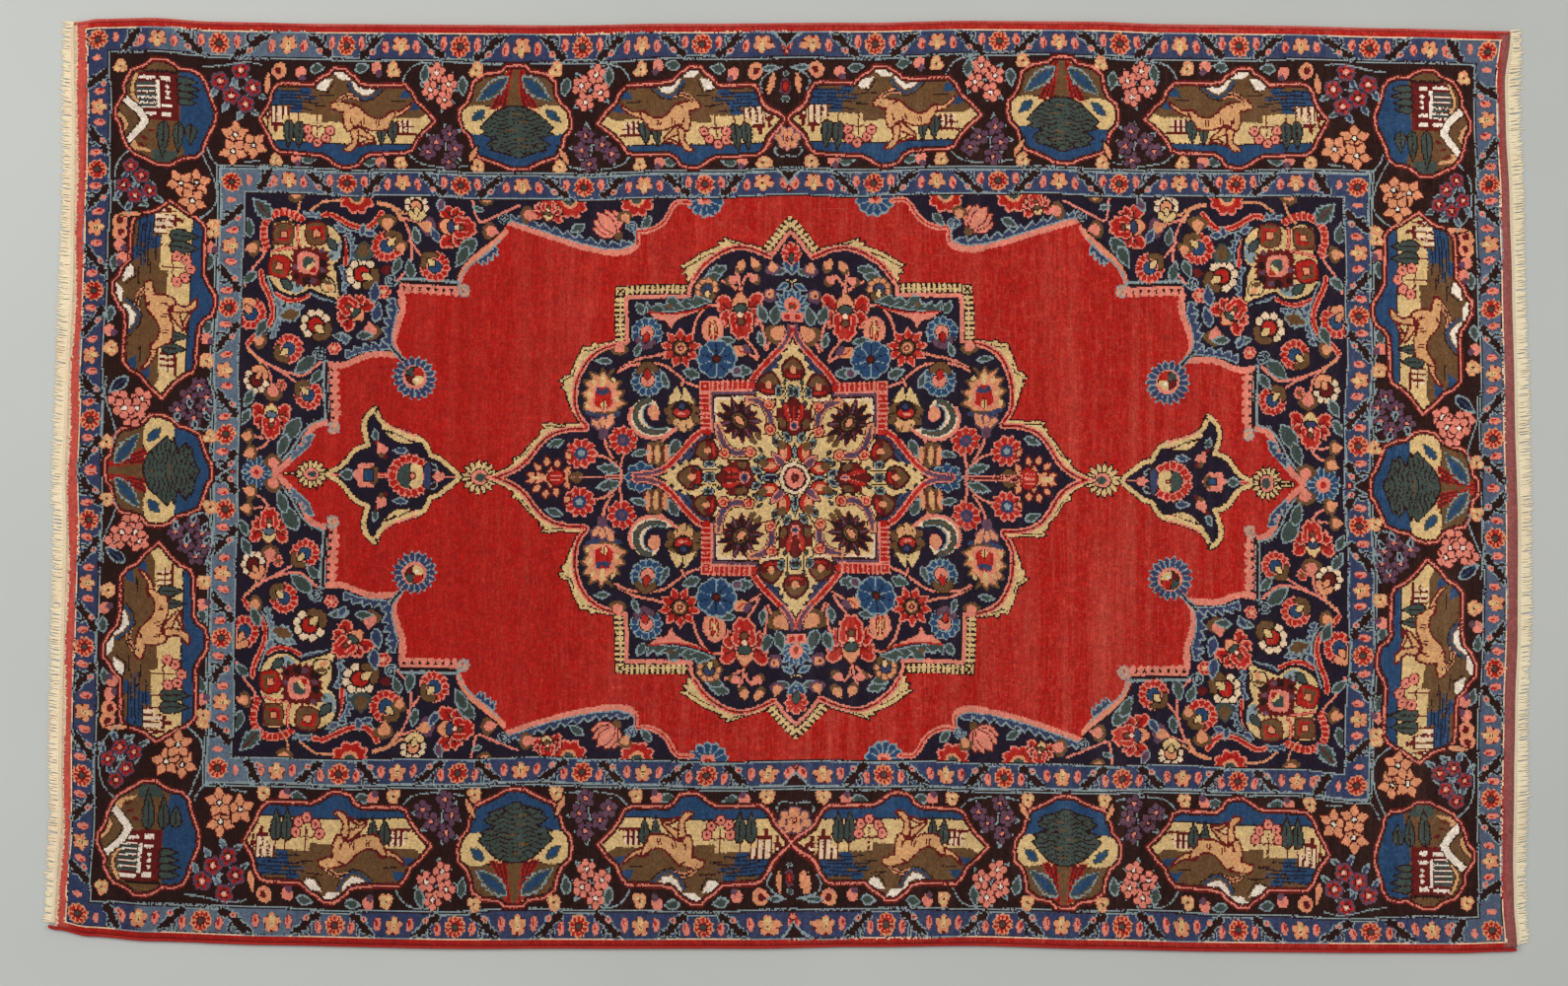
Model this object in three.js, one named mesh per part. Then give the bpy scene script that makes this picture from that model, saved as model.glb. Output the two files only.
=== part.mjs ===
// A hand-knotted oriental rug, lying flat, in millimetres with +Z up.
// X runs along the rug's length, the way its warps run, and Y across it.
// The origin is the centre of the underside, which rests on the floor at z = 0.
//
// The rug is a knotted sheet with a cut pile. A thick overcast cord is sewn along each
// long edge, and the warp ends stand out of each short end as a fringe.
// Nothing on it is straight: the tables below say how far each edge wanders.

import * as THREE from "three";

// Driving dimensions
const LENGTH = 2080; // of the pile, along X
const WIDTH = 1330; // of pile and cords, along Y
const PILE_HEIGHT = 8.2; // foundation and pile together
const PILE_SHOULDER = 3.5; // the pile's rim rounds over this far in from its edge
const SHOULDER_DROP = 1.4;
const LIFT = 0.5; // how much the upper face rises and falls between one ripple and the next
const CORD_WIDTH = 5.4; // overcast cord along a long edge
const CORD_HEIGHT = 6.8;
const GAP = 0.3; // between pieces that touch
const STRIP_WIDTH = 5.5; // flat-woven strip that the fringe grows from
const FRINGE_HEIGHT = 3.2; // at the roots
const TIP_HEIGHT = 1.4;
const LOCKS = 150; // locks in each fringe
const LOCK_SHARE = 0.8; // of the pitch that a lock's root fills
const TIP_SHARE = 0.5;
const LOCK_DRIFT = 0.2; // share of the pitch that a lock's tip wanders sideways
const LOCK_UNEVEN = 1.6; // how much a lock's length wanders
const CORNER_INSET = 2.5; // the fringe stops this far short of the overcast cords
const TAIL_LENGTH = 10; // loose end of a cord at one corner

// Where the rug's long edges run: y of the edge at some places along x
const UPPER_EDGE = [
  { x: -1042, y: 660 },
  { x: -1005, y: 665 },
  { x: -930, y: 667 },
  { x: -840, y: 662 },
  { x: -680, y: 660 },
  { x: -336, y: 660 },
  { x: -164, y: 664 },
  { x: 100, y: 667 },
  { x: 265, y: 671 },
  { x: 436, y: 671 },
  { x: 540, y: 668 },
  { x: 700, y: 667 },
  { x: 870, y: 664 },
  { x: 1042, y: 661 },
];
const LOWER_EDGE = [
  { x: -1060, y: -645 },
  { x: -1042, y: -649 },
  { x: -994, y: -658 },
  { x: -905, y: -664 },
  { x: -740, y: -668 },
  { x: -470, y: -671 },
  { x: -300, y: -669 },
  { x: -60, y: -667 },
  { x: 110, y: -663 },
  { x: 270, y: -660 },
  { x: 440, y: -663 },
  { x: 620, y: -665 },
  { x: 790, y: -665 },
  { x: 950, y: -664 },
  { x: 1042, y: -661 },
];

// Where the short ends of the pile run, and how far the fringe reaches past them
const LEFT_END = [
  { y: -652, x: -1043, fringe: 17 },
  { y: -600, x: -1041, fringe: 17 },
  { y: -504, x: -1036, fringe: 19 },
  { y: -390, x: -1038, fringe: 21 },
  { y: -260, x: -1038, fringe: 21 },
  { y: -108, x: -1037, fringe: 22 },
  { y: 5, x: -1041, fringe: 21 },
  { y: 120, x: -1039, fringe: 21 },
  { y: 291, x: -1035, fringe: 23 },
  { y: 405, x: -1036, fringe: 20 },
  { y: 520, x: -1037, fringe: 21 },
  { y: 600, x: -1040, fringe: 19 },
  { y: 662, x: -1042, fringe: 17 },
];
const RIGHT_END = [
  { y: -662, x: 1041, fringe: 17 },
  { y: -600, x: 1037, fringe: 20 },
  { y: -544, x: 1036, fringe: 20 },
  { y: -430, x: 1038, fringe: 23 },
  { y: -319, x: 1040, fringe: 20 },
  { y: -206, x: 1044, fringe: 22 },
  { y: -60, x: 1045, fringe: 22 },
  { y: 134, x: 1041, fringe: 24 },
  { y: 300, x: 1038, fringe: 21 },
  { y: 420, x: 1035, fringe: 23 },
  { y: 534, x: 1030, fringe: 24 },
  { y: 592, x: 1029, fringe: 24 },
  { y: 663, x: 1037, fringe: 17 },
];

// How finely the long and short edges are stepped
const LONG_STEPS = 42;
const SHORT_STEPS = 26;

const materials = {
  pile: new THREE.MeshStandardMaterial({ color: 0xa8281e, roughness: 0.95, metalness: 0 }),
  cord: new THREE.MeshStandardMaterial({ color: 0xb4322a, roughness: 0.9, metalness: 0 }),
  fringe: new THREE.MeshStandardMaterial({ color: 0xdccfae, roughness: 0.9, metalness: 0 }),
};

// Value of one column of a table at a place along another, turning smoothly from row to row
function along(table, place, at, value) {
  const after = table.findIndex((row) => row[place] >= at);
  if (after === 0) return table[0][value];
  if (after < 0) return table[table.length - 1][value];
  const [a, b] = [table[after - 1], table[after]];
  const t = (at - a[place]) / (b[place] - a[place]);
  return THREE.MathUtils.lerp(a[value], b[value], THREE.MathUtils.smoothstep(t, 0, 1));
}

const upperEdge = (x) => along(UPPER_EDGE, "x", x, "y");
const lowerEdge = (x) => along(LOWER_EDGE, "x", x, "y");
const leftEnd = (y) => along(LEFT_END, "y", y, "x");
const rightEnd = (y) => along(RIGHT_END, "y", y, "x");

// Stations from 0 to 1, with one extra near each end where a rim rounds over
function stations(steps, shoulder) {
  const even = Array.from({ length: steps + 1 }, (_, i) => i / steps);
  return [0, shoulder, ...even.slice(1, -1), 1 - shoulder, 1];
}

// A closed mesh from points and faces
function closedMesh(name, points, faces, material) {
  const geometry = new THREE.BufferGeometry();
  geometry.setAttribute("position", new THREE.Float32BufferAttribute(points.flat(), 3));
  geometry.setIndex(faces.flat());
  geometry.computeVertexNormals();
  const mesh = new THREE.Mesh(geometry, material);
  mesh.name = name;
  return mesh;
}

// Height of the pile's upper face: long shallow ripples, as in a rug that has been rolled
function pileTop(x, y) {
  const across = Math.sin(x / 118 + 0.6 * Math.sin(y / 210));
  const askew = Math.sin(x / 71 - y / 163 + 1.3);
  return PILE_HEIGHT + LIFT * (0.6 * across + 0.4 * askew);
}

// Place along x of a station s, at a share t of the way from the lower edge to the upper one
function stationX(s, t) {
  const y = WIDTH * (t - 0.5);
  return THREE.MathUtils.lerp(leftEnd(y), rightEnd(y), s);
}

const longStations = stations(LONG_STEPS, PILE_SHOULDER / LENGTH);
const shortStations = stations(SHORT_STEPS, PILE_SHOULDER / WIDTH);

// Point of the knotted sheet's plan at shares s of its length and t of its width
function sheetPoint(s, t) {
  const x = stationX(s, t);
  const inset = CORD_WIDTH + GAP;
  return [x, THREE.MathUtils.lerp(lowerEdge(x) + inset, upperEdge(x) - inset, t)];
}

// The knotted sheet: a stepped upper face with a rounded rim over a flat underside
function knottedSheet() {
  const points = [];
  const faces = [];
  for (const s of longStations) {
    for (const t of shortStations) {
      const [x, y] = sheetPoint(s, t);
      const rim = s === 0 || s === 1 || t === 0 || t === 1;
      points.push([x, y, pileTop(x, y) - (rim ? SHOULDER_DROP : 0)]);
    }
  }
  const rows = longStations.length;
  const wide = shortStations.length;
  const id = (i, j) => i * wide + j;
  for (let i = 0; i + 1 < rows; i++) {
    for (let j = 0; j + 1 < wide; j++) {
      faces.push([id(i, j), id(i + 1, j), id(i + 1, j + 1)]);
      faces.push([id(i, j), id(i + 1, j + 1), id(i, j + 1)]);
    }
  }
  const rim = [];
  for (let i = 0; i < rows; i++) rim.push(id(i, 0));
  for (let j = 1; j < wide; j++) rim.push(id(rows - 1, j));
  for (let i = rows - 2; i >= 0; i--) rim.push(id(i, wide - 1));
  for (let j = wide - 2; j > 0; j--) rim.push(id(0, j));
  const under = points.length;
  for (const at of rim) points.push([points[at][0], points[at][1], 0]);
  rim.forEach((at, k) => {
    const next = (k + 1) % rim.length;
    faces.push([at, under + k, under + next], [at, under + next, rim[next]]);
  });
  const outline = rim.map((at) => new THREE.Vector2(points[at][0], points[at][1]));
  for (const [a, b, c] of THREE.ShapeUtils.triangulateShape(outline, [])) {
    faces.push([under + c, under + b, under + a]);
  }
  return closedMesh("knotted_sheet", points, faces, materials.pile);
}

// Section of an overcast cord: flat underneath and towards the pile, round outside.
// "out" is measured away from the pile.
const CORD_SECTION = [
  { out: 0, up: 0 },
  { out: 0.74, up: 0 },
  { out: 1, up: 0.2 },
  { out: 1, up: 0.66 },
  { out: 0.82, up: 0.9 },
  { out: 0.5, up: 1 },
  { out: 0.18, up: 0.9 },
  { out: 0, up: 0.7 },
];

// A cord along a long edge. side is 1 for the upper edge and -1 for the lower one, and
// tail is how far its loose end reaches past the left end of the pile.
function overcastCord(name, edge, side, tail) {
  const sides = CORD_SECTION.length;
  const places = longStations.map((s) => stationX(s, side > 0 ? 1 : 0));
  if (tail > 0) places.unshift(places[0] - tail);
  const points = [];
  const faces = [];
  for (const x of places) {
    for (const { out, up } of CORD_SECTION) {
      points.push([x, edge(x) - side * CORD_WIDTH * (1 - out), CORD_HEIGHT * up]);
    }
  }
  const turned = ([a, b, c]) => (side > 0 ? [a, c, b] : [a, b, c]);
  for (let i = 0; i + 1 < places.length; i++) {
    for (let k = 0; k < sides; k++) {
      const [a, b] = [i * sides + k, i * sides + ((k + 1) % sides)];
      faces.push(turned([a, a + sides, b]), turned([b, a + sides, b + sides]));
    }
  }
  const last = (places.length - 1) * sides;
  for (let k = 1; k + 1 < sides; k++) {
    faces.push(turned([0, k, k + 1]), turned([last, last + k + 1, last + k]));
  }
  return closedMesh(name, points, faces, materials.cord);
}

// A number between -1 and 1 that looks random and is the same each time for a seed
function wobble(seed) {
  const s = Math.sin(seed * 127.1 + 311.7) * 43758.5453;
  return 2 * (s - Math.floor(s)) - 1;
}

// A fringe: a narrow woven strip against the pile's end, with locks that lie on the floor.
// side is -1 for the left end and 1 for the right one.
function fringe(name, table, side) {
  const ends = shortStations.map((t) => sheetPoint(side > 0 ? 1 : 0, t));
  const end = (y) => {
    const after = Math.max(1, ends.findIndex((point) => point[1] >= y));
    const [a, b] = [ends[after - 1], ends[after]];
    return THREE.MathUtils.lerp(a[0], b[0], (y - a[1]) / (b[1] - a[1])) + side * GAP;
  };
  const low = ends[0][1] + CORNER_INSET;
  const high = ends[ends.length - 1][1] - CORNER_INSET;
  const pitch = (high - low) / LOCKS;
  const rootHalf = (pitch * LOCK_SHARE) / 2;
  const tipHalf = (pitch * TIP_SHARE) / 2;
  const centre = (k) => low + pitch * (k + 0.5);

  // The strip's points, four at each place where a lock's root starts or ends
  const places = [low];
  for (let k = 0; k < LOCKS; k++) places.push(centre(k) - rootHalf, centre(k) + rootHalf);
  places.push(high);
  const points = [];
  for (const y of places) {
    const [inner, outer] = [end(y), end(y) + side * STRIP_WIDTH];
    points.push([inner, y, 0], [outer, y, 0], [outer, y, FRINGE_HEIGHT], [inner, y, FRINGE_HEIGHT]);
  }
  const faces = [];
  const quad = (a, b, c, d) => {
    if (side > 0) faces.push([a, b, c], [a, c, d]);
    else faces.push([a, c, b], [a, d, c]);
  };
  for (let i = 0; i + 1 < places.length; i++) {
    const [a, b] = [4 * i, 4 * (i + 1)];
    const isLock = i % 2 === 1;
    quad(a, b, b + 1, a + 1);
    quad(b, a, a + 3, b + 3);
    quad(a + 3, a + 2, b + 2, b + 3);
    if (!isLock) quad(a + 1, b + 1, b + 2, a + 2);
  }
  const last = 4 * (places.length - 1);
  quad(0, 1, 2, 3);
  quad(last, last + 3, last + 2, last + 1);

  // Each lock lies on the floor and thins towards its tip
  for (let k = 0; k < LOCKS; k++) {
    const reach = along(table, "y", centre(k), "fringe") + LOCK_UNEVEN * wobble(k + 7 * side);
    const tip = end(centre(k)) + side * reach;
    const y = centre(k) + LOCK_DRIFT * pitch * wobble(3 * k + side);
    const [a, b, t] = [4 * (2 * k + 1), 4 * (2 * k + 2), points.length];
    points.push([tip, y - tipHalf, 0], [tip, y + tipHalf, 0]);
    points.push([tip, y + tipHalf, TIP_HEIGHT], [tip, y - tipHalf, TIP_HEIGHT]);
    quad(a + 1, b + 1, t + 1, t);
    quad(a + 2, t + 3, t + 2, b + 2);
    quad(a + 1, t, t + 3, a + 2);
    quad(b + 1, b + 2, t + 2, t + 1);
    quad(t, t + 1, t + 2, t + 3);
  }
  return closedMesh(name, points, faces, materials.fringe);
}

const rug = new THREE.Group();
rug.add(knottedSheet());
rug.add(overcastCord("overcast_cord_upper", upperEdge, 1, 0));
rug.add(overcastCord("overcast_cord_lower", lowerEdge, -1, TAIL_LENGTH));
rug.add(fringe("fringe_left", LEFT_END, -1));
rug.add(fringe("fringe_right", RIGHT_END, 1));

// The origin is put at the middle of the rug's outline
const middle = new THREE.Box3().setFromObject(rug).getCenter(new THREE.Vector3());
rug.position.set(-middle.x, -middle.y, 0);

export default rug;
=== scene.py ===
import math

import bmesh
import bpy
import numpy as np
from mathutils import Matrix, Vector


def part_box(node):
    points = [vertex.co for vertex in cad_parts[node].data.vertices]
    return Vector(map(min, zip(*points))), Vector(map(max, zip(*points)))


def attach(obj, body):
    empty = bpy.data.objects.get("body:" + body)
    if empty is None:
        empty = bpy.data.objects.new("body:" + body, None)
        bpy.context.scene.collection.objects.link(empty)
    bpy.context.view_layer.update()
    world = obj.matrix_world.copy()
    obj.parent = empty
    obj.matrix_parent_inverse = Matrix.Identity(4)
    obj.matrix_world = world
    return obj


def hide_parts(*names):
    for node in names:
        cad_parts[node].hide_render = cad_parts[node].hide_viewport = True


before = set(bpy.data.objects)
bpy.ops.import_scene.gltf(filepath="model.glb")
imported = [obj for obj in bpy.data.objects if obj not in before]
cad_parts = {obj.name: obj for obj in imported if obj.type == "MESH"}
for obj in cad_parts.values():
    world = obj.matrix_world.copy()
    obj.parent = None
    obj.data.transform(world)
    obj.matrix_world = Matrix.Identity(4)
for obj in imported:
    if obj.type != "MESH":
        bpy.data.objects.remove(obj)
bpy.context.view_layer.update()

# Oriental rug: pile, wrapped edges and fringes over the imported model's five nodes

MM = 0.001
TAU = 2 * math.pi

# Sizes of the rug in millimetres, the same as its solids have
LENGTH = 2080
WIDTH = 1330
PILE_HEIGHT = 8.2
SHOULDER_DROP = 1.4
LIFT = 0.5
CORD_WIDTH = 5.4
CORD_HEIGHT = 6.8
GAP = 0.3
TAIL_LENGTH = 10

# The rug's outline, in millimetres from the middle of its nominal rectangle
UPPER_EDGE = [
    (-1042, 660), (-1005, 665), (-930, 667), (-840, 662), (-680, 660), (-336, 660), (-164, 664),
    (100, 667), (265, 671), (436, 671), (540, 668), (700, 667), (870, 664), (1042, 661),
]
LOWER_EDGE = [
    (-1060, -645), (-1042, -649), (-994, -658), (-905, -664), (-740, -668), (-470, -671),
    (-300, -669), (-60, -667), (110, -663), (270, -660), (440, -663), (620, -665), (790, -665),
    (950, -664), (1042, -661),
]
LEFT_END = [
    (-652, -1043), (-600, -1041), (-504, -1036), (-390, -1038), (-260, -1038), (-108, -1037),
    (5, -1041), (120, -1039), (291, -1035), (405, -1036), (520, -1037), (600, -1040), (662, -1042),
]
RIGHT_END = [
    (-662, 1041), (-600, 1037), (-544, 1036), (-430, 1038), (-319, 1040), (-206, 1044), (-60, 1045),
    (134, 1041), (300, 1038), (420, 1035), (534, 1030), (592, 1029), (663, 1037),
]
LEFT_FRINGE = [
    (-652, 17), (-600, 17), (-504, 19), (-390, 21), (-260, 21), (-108, 22), (5, 21), (120, 21),
    (291, 23), (405, 20), (520, 21), (600, 19), (662, 17),
]
RIGHT_FRINGE = [
    (-662, 17), (-600, 20), (-544, 20), (-430, 23), (-319, 20), (-206, 22), (-60, 22), (134, 24),
    (300, 21), (420, 23), (534, 24), (592, 24), (663, 17),
]


def along(table, at):
    """Value of a two-column table at a place, turning smoothly from row to row."""
    places = np.array([row[0] for row in table], float)
    values = np.array([row[1] for row in table], float)
    at = np.clip(np.asarray(at, float), places[0], places[-1])
    k = np.clip(np.searchsorted(places, at) - 1, 0, len(places) - 2)
    t = (at - places[k]) / (places[k + 1] - places[k])
    t = t * t * (3 - 2 * t)
    return values[k] + (values[k + 1] - values[k]) * t


def pile_top(x, y):
    """Height of the pile, which lies in low waves."""
    across = np.sin(x / 118 + 0.6 * np.sin(y / 210))
    askew = np.sin(x / 71 - y / 163 + 1.3)
    return PILE_HEIGHT + LIFT * (0.6 * across + 0.4 * askew)


# Middle of the CAD model's plan in the outline's own numbers: the model is centred, the outline isn't
MIDDLE_X = max(x for _, x in RIGHT_END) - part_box("knotted_sheet")[1][0] / MM
MIDDLE_Y = max(y for _, y in UPPER_EDGE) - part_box("overcast_cord_upper")[1][1] / MM
# Chart of the knots
#
# One quarter of the design is drawn as shapes, in millimetres, in colour numbers. The chart's
# lower left corner is the middle of the rug, at AXIS_X, AXIS_Y. The other three quarters mirror it.

AXIS_X = 2
AXIS_Y = 9
CHART_WIDTH = 1100
CHART_HEIGHT = 720

(FIELD, MAROON, NAVY, BLUE, MIST, IVORY, GOLD, PINK,
 PEACH, NIGHT, OLIVE, PINE, TAN, MAUVE, WATER, WHITE) = range(16)

chart = np.full((CHART_HEIGHT, CHART_WIDTH), FIELD, np.uint8)
STRAIGHT = lambda x, y: (x, y)
mapping = [STRAIGHT]


def placed(points):
    """Points where the current mapping puts them."""
    return np.array([mapping[0](x, y) for x, y in points], float)


def window(low, high):
    """Part of the chart between two corners, with the places of its cells' middles."""
    x0, y0 = (max(0, int(math.floor(v))) for v in low)
    x1 = min(CHART_WIDTH, int(math.ceil(high[0])) + 1)
    y1 = min(CHART_HEIGHT, int(math.ceil(high[1])) + 1)
    if x1 <= x0 or y1 <= y0:
        return None
    x, y = np.meshgrid(np.arange(x0, x1) + 0.5, np.arange(y0, y1) + 0.5)
    return chart[y0:y1, x0:x1], x, y


def area(points, ink):
    """Fill a closed outline."""
    points = placed(points)
    found = window(points.min(0), points.max(0))
    if found is None:
        return
    cells, x, y = found
    inside = np.zeros(x.shape, bool)
    for (ax, ay), (bx, by) in zip(points, np.roll(points, -1, 0)):
        if ay == by:
            continue
        crosses = (ay > y) != (by > y)
        inside ^= crosses & (x < (bx - ax) * (y - ay) / (by - ay) + ax)
    cells[inside] = ink


def stroke(points, width, ink, closed=False):
    """Draw a line of some width through points."""
    points = placed(points)
    ends = np.roll(points, -1, 0) if closed else points[1:]
    half = width / 2
    for (ax, ay), (bx, by) in zip(points, ends):
        low = (min(ax, bx) - half - 1, min(ay, by) - half - 1)
        high = (max(ax, bx) + half + 1, max(ay, by) + half + 1)
        found = window(low, high)
        if found is None:
            continue
        cells, x, y = found
        dx, dy = bx - ax, by - ay
        t = np.clip(((x - ax) * dx + (y - ay) * dy) / max(dx * dx + dy * dy, 1e-9), 0, 1)
        near = np.hypot(x - ax - t * dx, y - ay - t * dy) <= half
        cells[near] = ink


def curve(points, closed=False, steps=5):
    """Smooth line through points."""
    p = np.array(points, float)
    n = len(p)
    out = []
    for k in range(n if closed else n - 1):
        if closed:
            a, b, c, d = (p[(k + j) % n] for j in (-1, 0, 1, 2))
        else:
            a, b, c, d = p[max(k - 1, 0)], p[k], p[k + 1], p[min(k + 2, n - 1)]
        for t in np.arange(steps) / steps:
            out.append(
                0.5 * (2 * b + (c - a) * t + (2 * a - 5 * b + 4 * c - d) * t**2
                       + (3 * b - a - 3 * c + d) * t**3)
            )
    if not closed:
        out.append(p[-1])
    return [tuple(q) for q in out]


def turned(points, x, y, turn, size=1.0):
    """Points turned by some degrees about their origin, scaled and moved."""
    c, s = math.cos(math.radians(turn)) * size, math.sin(math.radians(turn)) * size
    return [(x + c * a - s * b, y + s * a + c * b) for a, b in points]


def spot(a, b, x, y, turn, size=1.0):
    """One point, turned, scaled and moved."""
    return turned([(a, b)], x, y, turn, size)[0]


def rays(x, y, reaches, count, width, ink, turn=0.0):
    """Short lines all round a flower, between two reaches."""
    for k in range(count):
        a = math.radians(turn) + TAU * (k + 0.5) / count
        stroke([(x + q * math.cos(a), y + q * math.sin(a)) for q in reaches], width, ink)


def lobed(x, y, r, lobes, depth, turn=0.0):
    """Round outline with cusps between its lobes."""
    steps = max(20, lobes * 6)
    points = []
    for k in range(steps):
        a = TAU * (k / steps) + math.radians(turn)
        reach = r * (1 - depth * (1 - abs(math.cos(lobes * (a - math.radians(turn)) / 2))))
        points.append((x + reach * math.cos(a), y + reach * math.sin(a)))
    return points


def disc(x, y, r, ink):
    area(lobed(x, y, r, 1, 0), ink)


def oval(x, y, length, width, turn, ink):
    points = [(length / 2 * math.cos(a), width / 2 * math.sin(a)) for a in np.arange(16) * TAU / 16]
    area(turned(points, x, y, turn), ink)


def framed(points, ink, edge, width=3.2):
    """Fill an outline and draw its edge."""
    area(points, ink)
    stroke(points, width, edge, closed=True)


def box(low, high, ink):
    """Fill an upright rectangle."""
    area([low, (high[0], low[1]), high, (low[0], high[1])], ink)


def mirrored(half):
    """Half an outline and its mirror image below the x axis."""
    return half + [(a, -b) for a, b in half[::-1]]


# Motifs that the design repeats


def rosette(x, y, r, petals, ink, edge, heart, core=None, turn=0.0):
    """Flower seen from above: notched petals parted by lines, round a heart."""
    area(lobed(x, y, r, petals, 0.3, turn), edge)
    area(lobed(x, y, r - 2.4, petals, 0.25, turn), ink)
    rays(x, y, (0.4 * r, 0.85 * r), petals, 1.7, edge, turn)
    disc(x, y, 0.42 * r, heart)
    if core is not None:
        disc(x, y, 0.2 * r, core)


def five_petals(x, y, r, ink, rim, heart=WHITE, turn=0.0):
    """Blossom of five round petals with a dark rim and a pale heart."""
    for ring, reach, size in ((NIGHT, 0.62, 0.47), (rim, 0.6, 0.42), (ink, 0.62, 0.34)):
        for k in range(5):
            a = math.radians(turn + 72 * k)
            disc(x + reach * r * math.cos(a), y + reach * r * math.sin(a), size * r, ring)
    disc(x, y, 0.3 * r, rim)
    disc(x, y, 0.2 * r, heart)


def ring_flower(x, y, r, turn, ink, edge, heart=BLUE, notch=GOLD, calyx=OLIVE, petals=13):
    """Round flower whose ring of petals opens on one side, where its calyx shows."""
    area(lobed(x, y, r, petals, 0.18, turn), edge)
    area(lobed(x, y, r - 2.2, petals, 0.16, turn), ink)
    rays(x, y, (0.5 * r, 0.95 * r), petals, 1.6, edge, turn)
    cup = [(0.3, -0.46), (0.62, -0.66), (0.98, -0.36), (1.12, 0.0), (0.98, 0.36), (0.62, 0.66), (0.3, 0.46)]
    framed(turned(curve(cup, True, 3), x, y, turn, r), calyx, NIGHT, 1.6)
    disc(x, y, 0.54 * r, edge)
    disc(x, y, 0.46 * r, NIGHT)
    disc(x, y, 0.40 * r, heart)
    eye = [(0.0, 0), (0.3, -0.24), (0.72, 0), (0.3, 0.24)]
    framed(turned(curve(eye, True, 3), x, y, turn, r), notch, NIGHT, 1.5)


def petal_shape(length, width, teeth=0, belly=0.8):
    """Outline of a leaf or petal that starts at the origin and points along x."""
    bite = 0.4
    side = []
    steps = 30 if teeth else 14
    for k in range(steps + 1):
        t = k / steps
        half = width / 2 * math.sin(math.pi * t**belly)
        if teeth:
            half *= 1 - bite * ((t * teeth) % 1)
        side.append((length * t, half))
    return side + [(a, -b) for a, b in reversed(side)]


def leaf(x, y, length, width, turn, ink, edge, teeth=0, vein=None):
    """Leaf with an edge line and perhaps a serrated outline and a mid vein."""
    framed(turned(petal_shape(length, width, teeth), x, y, turn), ink, edge, 2.2)
    if vein is not None:
        stroke(turned([(0.1 * length, 0), (0.85 * length, 0)], x, y, turn), 2, vein)


def bud(x, y, size, turn, ink, calyx=None, heart=None):
    """Closed bud, which points along its turn, in a cup."""
    if calyx is not None:
        area(turned(petal_shape(1.0, 1.15, belly=0.75), x, y, turn, size), calyx)
        x, y = spot(0.22 * size, 0, x, y, turn)
        size *= 0.85
    area(turned(petal_shape(1.0, 0.78, belly=0.62), x, y, turn, size), ink)
    if heart is not None:
        area(turned(petal_shape(0.5, 0.34), x, y, turn, size), heart)


def tulip(x, y, size, turn, ink, line, calyx):
    """Half-open flower of long petals that spread from a cup."""
    for spread in (-34, 34, -17, 17, 0):
        shape = petal_shape(size * (1.0 - 0.004 * abs(spread)), size * 0.42, belly=1.2)
        framed(turned(shape, x, y, turn + spread), ink, line, 1.6)
        stroke(turned([(0.3 * size, 0), (0.8 * size, 0)], x, y, turn + spread), 1.6, calyx)
    oval(x, y, 0.24 * size, 0.3 * size, turn, OLIVE)


def fan(x, y, r, turn, spread, petals, ink, edge, base=None):
    """Carnation: petals in a fan with a toothed outer edge."""
    points = [(0, 0)]
    steps = petals * 4
    for k in range(steps + 1):
        a = math.radians(spread * (k / steps - 0.5))
        tooth = abs(math.cos(math.pi * petals * (k / steps)))
        reach = r * (0.78 + 0.22 * (1 - tooth))
        points.append((reach * math.cos(a), reach * math.sin(a)))
    framed(turned(points, x, y, turn), ink, edge, 2.4)
    for k in range(1, petals):
        a = spread * (k / petals - 0.5)
        stroke(turned([(0.3 * r, 0), (0.78 * r, 0)], x, y, turn + a), 1.7, edge)
    if base is not None:
        oval(x, y, 0.62 * r, 0.52 * r, turn, base)


FRONT_PETAL = [(-0.02, 0.42), (0.3, 0.54), (0.54, 0.46), (0.72, 0.5), (0.84, 0.32), (1.02, 0.22), (0.96, 0)]
FRONT_LOBE = [(0.02, 0.46), (0.36, 0.54), (0.52, 0.74), (0.3, 0.78), (0.26, 0.98), (0.0, 0.9), (-0.14, 0.66)]
BACK_LOBE = [(-0.08, 0.46), (-0.02, 0.84), (-0.2, 1.04), (-0.38, 0.98), (-0.56, 1.08), (-0.74, 0.84),
             (-0.62, 0.52), (-0.34, 0.38)]


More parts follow.
